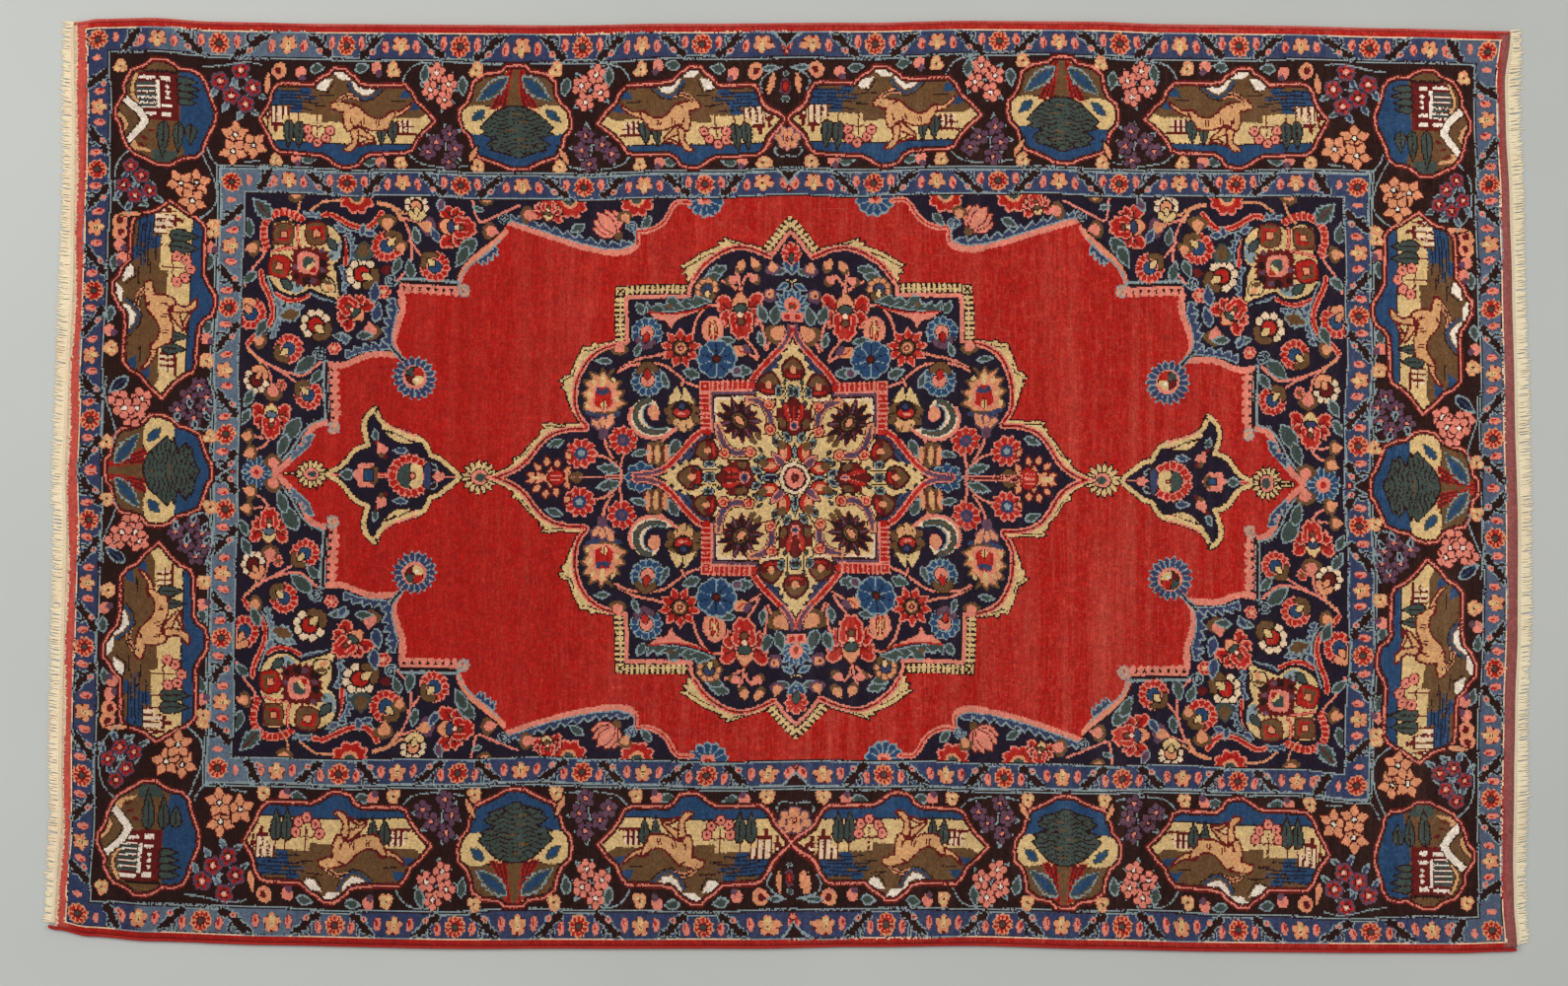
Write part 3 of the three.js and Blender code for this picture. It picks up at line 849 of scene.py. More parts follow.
def corner_medallion():
    """Frame at the corner: a pavilion by the water, with trees and snowy hills."""
    outline = [
        (843, 540), (850, 560), (856, 580), (863, 590), (876, 595), (891, 594), (901, 601), (912, 605),
        (930, 605), (941, 596), (958, 590), (966, 579), (972, 568), (971, 557), (978, 547), (985, 535),
        (985, 522), (977, 512), (973, 495), (967, 480), (955, 467), (940, 460), (925, 452), (905, 452),
        (894, 461), (884, 466), (870, 468), (860, 478), (858, 490), (852, 506), (845, 521),
    ]
    area(outline, OLIVE)
    area([(840, 540), (858, 592), (892, 592), (894, 520), (886, 468), (860, 474)], WATER)
    box((896, 452), (930, 474), PINE)
    area([(930, 470), (960, 474), (970, 492), (950, 486)], TAN)
    area([(900, 590), (940, 590), (930, 604), (908, 604)], OLIVE)
    stroke([(894, 588), (942, 588)], 3, NIGHT)
    # Pavilion: two storeys of pale arches
    box((895, 518), (950, 586), MAROON)
    for x0, x1, y0, y1 in ((906, 919, 575, 581), (905, 919, 538, 542), (906, 919, 524, 530),
                           (926, 950, 577, 582), (921, 926, 536, 576), (926, 944, 525, 530)):
        box((x0, y0), (x1, y1), WHITE)
    for y in (567, 559, 551):
        disc(910, y, 2.6, WHITE)
    for y in (571, 563, 555, 547, 540):
        area([(928, y - 2.4), (954, y - 2.4), (954, y + 2.4), (928, y + 2.4), (924, y)], PINE)
        stroke([(928, y - 4), (952, y - 4)], 1.8, WHITE)
    arch = curve([(953, 545), (960, 556), (958, 570), (952, 583)])
    stroke(arch, 7, NIGHT)
    stroke(arch, 4.4, TAN)
    # Snow, and bright slopes beyond it
    beyond = [(984, 532), (972, 520), (968, 510), (974, 500)]
    stroke(beyond, 8, NIGHT)
    stroke(beyond, 5.6, TAN)
    snow = [(970, 548), (950, 530), (942, 516), (952, 502), (964, 488)]
    stroke(snow, 13, NIGHT)
    stroke(snow, 10, WHITE)
    stroke([(972, 542), (956, 528), (949, 516), (958, 504), (966, 494)], 2, NIGHT)
    for x, y, turn in ((948, 494, 200), (940, 500, 160), (952, 484, 200)):
        leaf(x, y, 16, 7, turn, MAROON, OLIVE)
    # Trees
    for y, length in ((578, 30), (568, 32), (558, 28), (548, 26)):
        framed(turned(petal_shape(length, 11, belly=0.6), 897, y, 180), PINE, NIGHT, 2)
    for x, y, length, width in ((878, 516, 30, 16), (895, 518, 46, 15), (916, 518, 56, 17)):
        framed(turned(petal_shape(length, width, belly=0.6), x, y, -90), PINE, NIGHT, 2)
        stroke([(x, y - 4), (x, y - 0.7 * length)], 1.5, NIGHT)
    ringed(outline)


# Corner ground: navy, in lobes that step down from the long side to the short one


def saw_strip(line, depth, pitch, ink, edge, side=1):
    """Leaf laid along a line, plain on the line and serrated on the other side."""
    outer = []
    for k, (x, y, heading) in enumerate(points_along(line, pitch / 4)):
        reach = depth * (0.4 + 0.6 * (k % 4) / 3)
        outer.append(spot(0, side * reach, x, y, heading))
    framed(list(line) + outer[::-1], ink, edge, 2.2)


TOP_LEAF = [(92, 418), (104, 405), (108, 398), (118, 399), (126, 394), (134, 400), (143, 412)]
CORNER_EDGE = [
    (143, 412), (160, 413), (170, 406), (177, 394), (186, 383), (199, 375), (213, 371), (226, 371),
    (227, 354), (235, 345), (250, 341), (275, 342), (300, 346), (330, 354), (362, 363), (392, 374),
    (412, 384), (417, 370), (428, 355), (447, 341), (464, 326), (477, 309), (483, 294), (482, 284),
    (500, 281), (530, 280), (562, 279), (566, 262), (563, 250), (568, 232), (573, 214), (574, 198),
    (566, 184), (556, 170), (572, 181), (590, 184), (610, 182), (628, 174), (646, 168), (664, 168),
    (664, 128), (664, 84), (676, 82), (688, 74), (695, 60), (703, 45), (714, 32), (728, 19), (741, 7),
]


def corner_ground():
    """Navy ground with its stepped edge of leaves, ribbons and toothed lines."""
    outline = [(88, 420)] + TOP_LEAF + CORNER_EDGE + [(741, -9), (GROUND_X, -9), (GROUND_X, GROUND_Y)]
    area(outline, NAVY)
    # Half palmette on the long side
    area(lobed(120, 419, 30, 13, 0.18, 0), MIST)
    area(lobed(120, 419, 27, 13, 0.16, 0), WATER)
    rays(120, 419, (12, 27), 13, 1.8, MIST)
    area(lobed(120, 420, 13, 5, 0.25, 90), PINK)
    disc(120, 420, 6, FIELD)
    stroke(curve(CORNER_EDGE[:12]), 8, PINK)
    stroke(CORNER_EDGE[22:33], 7, PINK)
    stroke(curve(CORNER_EDGE[:10]), 2.2, FIELD)
    # Rising leaf
    rise = [(234, 352), (250, 347), (275, 348), (305, 355), (340, 365), (375, 377), (408, 388)]
    stroke(curve([(232, 349), (252, 343), (280, 345), (310, 351), (345, 362), (380, 373), (410, 384)]),
           8, PINK)
    saw_strip(rise, 12, 17, BLUE, MIST)
    curl(233, 377, 8, 0, BLUE, MIST)
    vine([(231, 372), (230, 358), (238, 350)], MIST, 2.4)
    curl(414, 390, 8, 90, NAVY, MIST, -1)
    # Falling leaf
    fall = [(416, 372), (428, 357), (447, 343), (464, 328), (476, 312), (482, 296)]
    stroke(curve(fall), 10, PINK)
    stroke(curve(fall), 3, PEACH)
    saw_strip([(430, 350), (443, 338), (456, 328)], 13, 9, BLUE, MIST, -1)
    stroke(curve([(423, 358), (440, 341), (458, 327), (474, 312), (480, 296)]), 2.2, MIST)
    vine([(412, 384), (419, 374), (432, 361), (450, 347), (468, 331), (481, 313), (487, 293)], NIGHT, 2.4)
    curl(474, 283, 9, 20, PEACH, MIST)
    # Straight toothed edges
    stroke([(486, 284), (563, 284)], 10, PINK)
    for x in np.arange(492, 562, 11.4):
        disc(x - 5.7, 279, 4.4, PINK)
        area([(x - 3, 285), (x + 3, 285), (x, 278)], NIGHT)
    stroke([(484, 294), (566, 294)], 8, MIST)
    stroke([(484, 292), (566, 292)], 3, NIGHT)
    stroke([(658, 168), (658, 86)], 10, PINK)
    for y in np.arange(92, 166, 11.6):
        disc(653, y + 5.8, 4.4, PINK)
        area([(659, y - 3), (659, y + 3), (666, y)], NIGHT)
    stroke([(669, 172), (669, 84)], 8, MIST)
    stroke([(668, 172), (668, 84)], 3, NIGHT)
    # Bay with the hanging daisy
    stroke(curve([(566, 276), (562, 262), (564, 246), (570, 230), (574, 214), (575, 200), (570, 188)]),
           9, PINK)
    stroke(curve([(570, 182), (590, 184), (610, 182), (628, 174), (646, 168), (662, 170)]), 9, PINK)
    saw_strip([(576, 196), (578, 212), (575, 232), (570, 250), (574, 268)], 16, 13, BLUE, MIST, -1)
    saw_strip([(580, 191), (600, 190), (622, 186), (640, 178)], 13, 12, BLUE, MIST)
    stroke([(552, 166), (562, 177), (576, 193)], 7.5, MIST)
    stroke([(550, 164), (562, 177), (578, 195)], 3.4, NIGHT)
    rosette(543, 150, 33, 18, BLUE, MIST, NIGHT)
    disc(543, 151, 17.5, PINK)
    disc(543, 153, 14, NIGHT)
    area([(531, 153), (531, 164), (543, 166), (544, 153)], FIELD)
    area([(544, 153), (545, 166), (555, 162), (556, 154)], PINE)
    area([(545, 152), (556, 153), (552, 142), (545, 141)], MAROON)
    area(curve([(530, 152), (543, 152), (544, 140), (534, 142)], True, 3), GOLD)
    disc(540, 148, 2.6, WHITE)
    # Lower curl and falling leaf
    lower = [(672, 85), (686, 80), (696, 68), (703, 52), (712, 38), (726, 24), (742, 10)]
    stroke(curve(lower), 9, PINK)
    saw_strip([(686, 68), (692, 52), (704, 40), (716, 30)], 13, 11, BLUE, MIST, 1)
    vine([(676, 89), (692, 84), (706, 68), (716, 50), (730, 32), (752, 12)], MIST, 5)
    vine([(678, 90), (694, 84), (708, 68), (718, 50), (732, 32), (754, 12)], NIGHT, 2.2)
    curl(660, 76, 8, 60, PEACH, MIST)


def palmette_square(x, y, half, turn, ink, lower):
    """Dark outlined square of two colours with a peach core."""
    square = curve([(-half, -half), (half, -half), (half, half), (-half, half)], True, 3)
    framed(turned(square, x, y, turn), ink, MAROON, 2.4)
    part = [(-0.8, -0.8), (0.8, -0.8), (0.5, -0.3), (-0.3, 0.5), (-0.8, 0.8)]
    area(turned([(a * half, b * half) for a, b in part], x, y, turn), lower)
    core = [(-0.4, -0.4), (0.4, -0.4), (0.4, 0.4), (-0.4, 0.4)]
    framed(turned([(a * half, b * half) for a, b in core], x, y, turn), PEACH, MAROON, 1.8)


def ribbon(points):
    """Red ribbon with pink edges and a dark outline."""
    line = curve(points)
    for width, ink in ((10.7, NIGHT), (8.5, PINK), (4.3, FIELD)):
        stroke(line, width, ink)


def corner_palmette():
    """Cream flower of four lobes with dark squares, held in serrated blue leaves and red ribbons."""
    for line in ([(648, 256), (654, 268), (650, 284), (649, 300), (656, 314)],
                 [(650, 258), (668, 264), (686, 267), (698, 274)],
                 [(706, 256), (722, 256), (734, 248), (742, 236)],
                 [(642, 318), (640, 332), (642, 348), (650, 362)],
                 [(684, 384), (700, 386), (714, 382)], [(748, 262), (745, 244), (750, 222), (756, 206)]):
        saw_strip(curve(line), 9, 9, BLUE, MIST, 1 if line[0][0] < 700 else -1)
    for points, width, core in (([(646, 318), (648, 340), (654, 358), (664, 370)], 6.5, 3.4),
                                ([(700, 270), (716, 263), (734, 262), (752, 270)], 7, 3.8)):
        stroke(curve(points), width, PINK)
        stroke(curve(points), core, FIELD)
    arc = curve([(716, 381), (728, 387), (744, 390), (760, 385), (771, 372), (772, 354), (766, 336)])
    for width, ink in ((13.5, NIGHT), (11.5, PINK), (9, FIELD)):
        stroke(arc, width, ink)
    for x, y, heading in points_along(arc, 8):
        stroke(turned([(0, -5), (0, 5)], x, y, heading), 2.4, PINK)
    outline = [
        (646, 258), (652, 268), (656, 282), (657, 300), (661, 312), (664, 316), (655, 325), (653, 341),
        (655, 355), (662, 366), (673, 374), (686, 378), (698, 378), (709, 375), (716, 371), (721, 369),
        (729, 375), (741, 377), (752, 375), (758, 367), (759, 352), (755, 339), (760, 330), (762, 315),
        (762, 300), (755, 284), (743, 274), (728, 269), (714, 270), (703, 277), (697, 279), (684, 275),
        (672, 271), (659, 266),
    ]
    line = curve(outline, True, 3)
    stroke(line, 8.5, NAVY, closed=True)
    area(line, GOLD)
    area(curve([(655, 330), (666, 322), (672, 334), (664, 344), (656, 352)], True, 3), MIST)
    area(curve([(706, 280), (722, 272), (736, 282), (724, 294), (712, 290)], True, 3), MIST)
    stroke(line, 2.2, NIGHT, closed=True)
    rising_rib = [(716, 340), (721, 356), (720, 372)]
    level_rib = [(718, 338), (738, 336), (757, 331)]
    stroke(curve(rising_rib), 5, PINK)
    stroke(curve(level_rib), 5, PINK)
    for shift in (-2, 2):
        stroke(curve([(x + shift, y) for x, y in rising_rib]), 1.2, FIELD)
        stroke(curve([(x, y + shift) for x, y in level_rib]), 1.2, FIELD)
    framed([(727, 341), (757, 341), (757, 373), (727, 373)], GOLD, OLIVE, 2)
    for square in ((742, 357, 13, 0, OLIVE, FIELD), (692, 361, 14, -98, OLIVE, FIELD),
                   (745, 310, 13.5, 100, FIELD, OLIVE)):
        palmette_square(*square)
    for x, y, turn in ((661, 338, 52), (724, 277, 38)):
        leaf(x, y, 25, 13, turn, PINE, NAVY)
    ragged = []
    for k in range(44):
        a = TAU * k / 44
        reach = (31 if k % 2 else 26) / (abs(math.cos(a)) ** 5 + abs(math.sin(a)) ** 5) ** 0.2
        ragged.append((699 + reach * math.cos(a), 312 + reach * math.sin(a)))
    area(ragged, MAROON)
    for a, b, size in ((-20, -14, 14), (-20, 6, 12), (4, -21, 13), (20, -16, 9)):
        oval(699 + a, 312 + b, size, size, 0, NIGHT)
    for a, b, size in ((-6, -20, 10), (-19, -4, 9), (-16, 24, 9), (22, -2, 9)):
        oval(699 + a, 312 + b, size, 0.8 * size, 0, MAUVE)
    area(curve([(688, 303), (700, 301), (716, 305), (717, 330), (700, 333), (687, 326)], True, 3), PINK)
    area(curve([(693, 310), (708, 310), (709, 325), (694, 324)], True, 3), PINE)
    area([(690, 304), (699, 304), (699, 312), (690, 312)], FIELD)
    area([(699, 306), (703, 306), (703, 313), (695, 319), (692, 316)], GOLD)
    for x, y in ((668, 329), (716, 282)):
        disc(x, y, 2.6, PINE)
    framed(curve([(659, 278), (672, 276), (681, 280), (680, 294), (668, 297), (662, 290)], True, 3),
           GOLD, NIGHT, 2)
    oval(672, 291, 16, 7, 10, OLIVE)
    oval(668, 282, 11, 8, 40, PEACH)
    ribbon([(597, 394), (606, 381), (617, 373), (631, 373), (646, 378), (660, 386), (672, 391), (682, 389)])
    stroke(curve([(595, 386), (605, 373), (616, 365), (632, 366), (650, 371), (662, 380)]), 2.6, MIST)
    ribbon([(773, 302), (770, 286), (762, 270), (756, 255), (754, 240), (758, 227), (767, 217), (779, 207),
            (788, 196)])
    stroke(curve([(764, 296), (756, 276), (749, 256), (747, 240), (751, 224), (760, 212), (772, 202)]),
           2.6, MIST)
    for x, y, turn in ((606, 362, 10), (626, 360, 100), (650, 366, 30), (742, 250, 60), (734, 238, 100)):
        leaf(x, y, 18, 9, turn, BLUE, MIST)


def corner_flowers():
    """Flowers of the corner ground over their stems."""
    for points, ink, width in (
        ([(392, 410), (410, 402), (432, 392), (452, 386), (458, 418)], PINK, 3.4),
        ([(566, 386), (546, 380), (520, 376)], PINK, 3.4),
        ([(566, 386), (556, 362), (552, 338), (554, 316), (568, 296), (576, 290)], PINK, 3.4),
        ([(556, 352), (546, 340), (538, 330)], PINK, 3.4),
        ([(540, 394), (562, 392), (572, 400)], PEACH, 3.4),
        ([(568, 384), (580, 402), (600, 408)], PEACH, 6),
        ([(656, 412), (680, 410), (700, 396)], PEACH, 3.4),
        ([(788, 190), (770, 174), (742, 160), (706, 152), (690, 160), (676, 172)], PINK, 4),
        ([(786, 186), (770, 172), (764, 154)], PEACH, 4),
        ([(762, 168), (752, 150), (750, 120)], PINK, 3.4),
        ([(742, 158), (728, 152), (710, 140)], PINK, 3.4),
        ([(752, 62), (768, 60), (784, 64)], PINK, 3.4),
        ([(752, 60), (762, 48), (776, 42)], PINK, 3.4),
        ([(797, 282), (786, 306), (770, 326), (776, 334), (797, 334)], PINK, 3.4),
        ([(732, 378), (720, 396), (716, 418)], PEACH, 2.6),
    ):
        vine(points, ink, width)
    peony(488, 376, 30, 180, BLUE, PEACH)
    for x in (222, 320, 632):
        area(lobed(x, 418, 27, 9, 0.22, 90), PINK)
        area(lobed(x, 418, 23.5, 9, 0.2, 90), FIELD)
        disc(x, 419, 12, PEACH)
        disc(x, 420, 8, PINE)
    peony(352, 402, 19, 100, OLIVE, GOLD)
    tulip(254, 366, 46, 52, PINK, MAROON, PEACH)
    for x, y, size, turn, ink, calyx in (
        (245, 402, 20, 250, PEACH, OLIVE), (392, 398, 24, 190, PINK, OLIVE),
        (448, 374, 24, 190, PINK, OLIVE), (516, 372, 26, 10, PEACH, MAUVE),
        (436, 410, 20, 80, PEACH, OLIVE),
    ):
        bud(x, y, size, turn, ink, calyx)
    ring_flower(544, 404, 21, -90, IVORY, NIGHT, PEACH, GOLD, GOLD, 9)
    ring_flower(517, 316, 23, 45, FIELD, PINK, WATER)
    ring_flower(588, 344, 24, 130, FIELD, PINK, WATER)
    ring_flower(622, 304, 25.5, 210, IVORY, NIGHT, FIELD, GOLD, OLIVE, 9)
    ring_flower(688, 228, 25.5, 225, IVORY, NIGHT, FIELD, GOLD, OLIVE, 9)
    ring_flower(725, 190, 23, -40, FIELD, PINK, WATER)
    ring_flower(695, 124, 22, 50, FIELD, PINK, WATER)
    ring_flower(774, 142, 22, 120, IVORY, NIGHT, MAROON, PEACH, PEACH, 9)
    ring_flower(787, 240, 24, 60, FIELD, PINK, WATER, PEACH, PEACH)
    peony(752, 88, 28, -90, BLUE, GOLD)
    peony(634, 250, 26, 45, PINE, PEACH)
    rosette(590, 277, 11, 6, FIELD, PINK, PINK, GOLD)
    rosette(658, 193, 10, 6, FIELD, PINK, PINK, GOLD)
    rosette(735, 136, 9, 6, FIELD, PINK, OLIVE)
    rosette(772, 9, 26, 14, WATER, MIST, PINK, FIELD)
    for x, y, size, turn, ink, calyx in (
        (590, 392, 26, 265, PEACH, OLIVE), (622, 322, 26, 90, OLIVE, PINE),
        (606, 204, 28, 80, PINK, OLIVE), (572, 352, 20, 250, PEACH, OLIVE),
        (716, 408, 26, 60, PEACH, OLIVE), (760, 196, 22, 20, PEACH, OLIVE),
        (748, 112, 26, 90, PINK, OLIVE), (778, 62, 20, 0, PEACH, OLIVE),
        (772, 42, 22, -20, PEACH, OLIVE), (748, 38, 26, -100, PINK, OLIVE),
        (776, 334, 22, 10, PEACH, OLIVE), (590, 315, 14, 250, MAROON, MAROON),
    ):
        bud(x, y, size, turn, ink, calyx)
    for x, y, length, turn, ink in (
        (204, 392, 24, -50, PINE), (302, 384, 24, -30, PINE), (458, 360, 42, -48, PINE),
        (470, 348, 34, -62, PINE), (544, 348, 26, 80, PINE), (550, 296, 30, 78, PINE),
        (568, 326, 26, -70, PINE), (602, 232, 30, 100, BLUE), (604, 262, 30, 95, BLUE),
        (628, 212, 24, 180, PINE), (636, 208, 26, 10, PINE), (640, 200, 20, 60, BLUE),
        (684, 180, 40, -40, PINE), (674, 160, 26, -50, PINE), (708, 90, 46, -55, PINE),
        (726, 66, 34, -70, PINE), (780, 128, 28, -60, PINE), (786, 100, 26, -60, PINE),
        (792, 352, 30, 80, PINE), (780, 302, 26, -40, PINE), (510, 398, 24, 110, MAUVE),
        (512, 352, 24, 60, BLUE), (764, 232, 30, -66, PINE), (444, 402, 16, 20, PINE),
    ):
        leaf(x, y, length, 0.48 * length, turn, ink, MIST)
    leaf(712, 244, 34, 24, -14, OLIVE, MIST, 4)
    leaf(762, 380, 40, 26, 48, PINE, MIST, 5, MAROON)
    leaf(622, 326, 26, 24, 90, OLIVE, PINE, 3)
    curl(580, 294, 8, 200, NAVY, MIST)
    curl(678, 184, 9, 0, NAVY, MIST)


# Ornaments on the long axis, between the medallion and the short side


def axis_daisy(x, r):
    """Gold daisy on its stem."""
    for width, ink in ((8, NIGHT), (4.5, GOLD), (1.4, NIGHT)):
        stroke([(x - r, AXIS_Y), (x + r + 14, AXIS_Y)], width, ink)
    for k in range(15):
        shape = turned(petal_shape(r, 0.3 * r, belly=1.5), x, AXIS_Y, 13 + 24 * k)
        framed(shape, GOLD, NIGHT, 1.8)
    disc(x, AXIS_Y, 0.5 * r, NIGHT)
    disc(x, AXIS_Y, 0.44 * r, PINK)
    disc(x - 0.05 * r, AXIS_Y, 0.27 * r, PINE)


PENDANT = [
    (480, 9), (486, 17), (500, 28), (511, 37), (522, 40), (526, 48), (532, 58), (541, 64), (558, 69),
    (576, 75), (590, 83), (597, 92), (600, 104), (608, 98), (615, 88), (617, 76), (614, 62), (611, 51),
    (621, 48), (631, 41), (639, 30), (649, 19), (664, 11), (664, 4), (480, 4),
]


def axis_ornaments():
    """Two daisies with the pendant between them."""
    axis_daisy(452, 28)
    axis_daisy(688, 24)
    # Pendant
    tip = PENDANT[12]
    line = curve(PENDANT[:13], False, 3) + curve(PENDANT[12:18], False, 3) + curve(PENDANT[17:-1], False, 3)
    area(line + PENDANT[-1:], NAVY)
    stroke(line, 9.5, NIGHT)
    stroke(line, 6.4, GOLD)
    stroke([(tip[0] - 3, tip[1] + 2), (tip[0], tip[1] - 6)], 3, NIGHT)
    stroke(curve([(538, 61), (556, 64), (574, 69), (590, 78)]), 7, GOLD)
    stroke(curve([(542, 66), (558, 71), (576, 77), (588, 84)]), 3, PINK)
    stroke(curve([(546, 60), (560, 61), (574, 66)]), 1.8, PINK)
    framed(curve([(548, 56), (566, 55), (578, 60), (590, 72), (578, 70), (562, 63)], True, 3), GOLD,
           NIGHT, 1.8)
    stroke([(574, 66), (588, 72)], 1.6, NIGHT)
    leaf(556, 45, 20, 9, -4, BLUE, MIST)
    leaf(600, 58, 16, 9, 80, PINE, MIST)
    stroke(curve([(586, 34), (592, 46), (600, 56)]), 6, MAROON)
    bud(588, 38, 20, 62, PINK)
    oval(592, 36, 9, 7, 60, OLIVE)
    stroke([(484, AXIS_Y), (660, AXIS_Y)], 4, PINK)
    stroke([(484, AXIS_Y), (660, AXIS_Y)], 1.3, FIELD)
    area(lobed(510, AXIS_Y, 9, 5, 0.3, 0), PINK)
    leaf(512, 20, 16, 8, 30, NIGHT, MIST)
    # Round flower, which opens towards the medallion
    area(lobed(551, AXIS_Y, 32, 17, 0.16, 0), PINK)
    area(lobed(551, AXIS_Y, 29.5, 17, 0.12, 0), FIELD)
    rays(551, AXIS_Y, (18, 31), 17, 1.7, PINK)
    framed([(521, -9), (521, 22), (524, 34), (530, 26), (534, 16), (534, -9)], BLUE, NIGHT, 2)
    disc(551, AXIS_Y, 20, PINK)
    disc(551, AXIS_Y, 18, NIGHT)
    area(curve([(534, -8), (534, 20), (542, 26), (551, 24), (549, 12), (549, -8)], True, 3), GOLD)
    area(curve([(552, -8), (552, 24), (562, 22), (568, 12), (568, -4)], True, 3), PINE)
    disc(547, AXIS_Y, 5.5, MAROON)
    disc(547, AXIS_Y, 3.4, PEACH)
    # Small flower in the pendant's point
    area(lobed(612, AXIS_Y, 18, 6, 0.25, 0), PINK)
    area([(596, -4), (596, 18), (606, 22), (608, 9), (606, -4)], OLIVE)
    framed([(602, 2), (615, 2), (615, 16), (602, 16)], WATER, NIGHT, 1.8)
    leaf(630, AXIS_Y, 18, 14, 0, PINE, MIST)


def draw_spandrel():
    corner_ground()
    corner_palmette()
    corner_flowers()
    axis_ornaments()


# Medallion: navy, with lobes and two square steps in each quarter

MEDALLION_EDGE = [
    (-8, 372), (2, 368), (18, 350), (34, 331), (48, 338), (64, 344), (82, 346), (100, 341), (118, 331),
    (134, 318), (146, 301), (152, 286), (152, 276), (200, 276), (243, 276), (243, 240), (243, 208),
    (262, 205), (280, 199), (296, 187), (307, 170), (315, 148), (317, 118), (312, 99), (303, 84),
    (322, 83), (342, 79), (358, 71), (372, 56), (386, 36), (402, 22), (426, 11), (440, 8),
]


def gold_scallop(outer, inner, slits):
    """Serrated gold leaf laid along the medallion's edge, with a dark outline."""
    shape = outer + inner[::-1]
    stroke(shape, 4.2, NIGHT, closed=True)
    area(shape, GOLD)
    for line in slits:
        stroke(line, 1.6, NIGHT)


def toothed_gold(line):
    """Straight gold edging: rungs joined by a rail, on a dark ground."""
    stroke(line, 17, NIGHT)
    for x, y, heading in points_along(line, 7.4):
        stroke(turned([(0, -6), (0, 6)], x, y, heading), 4.4, GOLD)
    stroke(line, 2.8, GOLD)


def medallion_ground():
    """Navy ground inside a pink ribbon, with serrated and toothed gold round it."""
    outline = [(-9, 374)] + MEDALLION_EDGE + [(440, -9), (-9, -9)]
    gold_scallop(
        [(32, 335), (44, 343), (60, 348), (78, 353), (90, 357), (98, 360), (97, 354), (107, 354), (104, 349),
         (118, 344), (133, 338), (146, 330), (153, 325), (165, 319), (156, 316), (162, 309), (154, 308),
         (156, 299)],
        [(34, 331), (64, 343), (100, 340), (134, 316), (150, 296)],
        [[(70, 349), (88, 353), (94, 358)], [(116, 339), (134, 331), (148, 322), (158, 318)]],
    )
    gold_scallop(
        [(246, 212), (264, 210), (278, 207), (288, 206), (291, 210), (297, 202), (306, 204), (309, 196),
         (314, 187), (319, 173), (323, 161), (330, 160), (338, 152), (330, 149), (334, 142), (329, 138),
         (326, 124), (321, 109), (315, 95)],
        [(246, 208), (280, 197), (306, 164), (313, 118), (304, 90)],
        [[(284, 203), (298, 197), (304, 199)], [(316, 172), (320, 160), (332, 153)]],
    )
    gold_scallop(
        [(304, 90), (322, 90), (342, 89), (352, 91), (364, 89), (359, 83), (367, 80), (367, 73), (377, 65),
         (385, 55), (391, 47), (396, 42), (405, 38), (402, 32), (413, 24), (430, 16), (442, 12)],
        [(306, 84), (342, 79), (372, 56), (402, 20), (440, 6)],
        [[(330, 86), (348, 86), (358, 87)], [(380, 57), (390, 44), (400, 38)]],
    )
    toothed_gold([(-8, 389), (2, 380), (37, 339)])
    toothed_gold([(150, 285), (243, 285)])
    toothed_gold([(252, 276), (252, 209)])
    framed([(245, 278), (259, 278), (259, 292), (245, 292)], GOLD, NIGHT, 2)
    stroke([(248, 289), (256, 281)], 2.2, NIGHT)
    stroke([(248, 281), (256, 289)], 2.2, NIGHT)
    area(outline, NAVY)
    edge = curve(MEDALLION_EDGE[:12]) + MEDALLION_EDGE[12:17] + curve(MEDALLION_EDGE[16:])
    stroke(edge, 8.6, NIGHT)
    stroke(edge, 5.4, PINK)
    for part in (curve(MEDALLION_EDGE[3:11]), curve(MEDALLION_EDGE[17:])):
        stroke(part, 8.6, PINK)
        stroke(part, 3.4, FIELD)
        stroke(part, 1.2, NIGHT)


INNER_TIP = [(3, 226), (9, 212), (20, 197), (34, 182), (48, 167), (58, 154), (63, 146)]
INNER_SIDE = [(136, 76), (146, 70), (158, 58), (172, 42), (184, 29), (198, 18), (214, 13), (236, 11)]


def inner_edge():
    """Red ribbon round the inner medallion, toothed where it is straight, with a blue band inside."""
    outline = [(-9, 230)] + INNER_TIP + [(63, 148), (137, 148)] + INNER_SIDE + [(236, -9), (-9, -9)]
    area(outline, NIGHT)
    for line in (INNER_TIP, INNER_SIDE):
        inside = curve([(x - 7, y - 7) for x, y in line])
        stroke(inside, 11, BLUE)
        stroke(inside, 1.6, NAVY)
        stroke(curve(line), 12, NIGHT)
        stroke(curve(line), 10, PINK)
        stroke(curve(line), 5.4, FIELD)
    for line in ([(6, 232), (9, 212), (20, 197)], [(198, 18), (214, 13), (236, 11)]):
        stroke(curve(line), 5, MAUVE)
    frame_line = [(64, 141.5), (129.5, 141.5), (129.5, 78)]
    stroke(frame_line, 17, NIGHT)
    stroke(frame_line, 14.4, FIELD)
    for x, y, heading in points_along(frame_line, 7.2):
        stroke(turned([(0, -6.5), (0, 6.5)], x, y, heading), 2.3, PINK)
        disc(*spot(0, 6.5, x, y, heading), 2.2, PINK)
    framed([(123, 135), (136, 135), (136, 148), (123, 148)], FIELD, PINK, 2.4)
    disc(129, 141, 2.4, PINK)
    stroke([(62, 134.5), (122.5, 134.5), (122.5, 75)], 2.4, PINK)
    stroke([(58, 130.8), (119, 130.8), (119, 72)], 3.6, MAUVE)
    stroke([(56, 127.6), (116.6, 127.6), (116.6, 68)], 2.4, NIGHT)


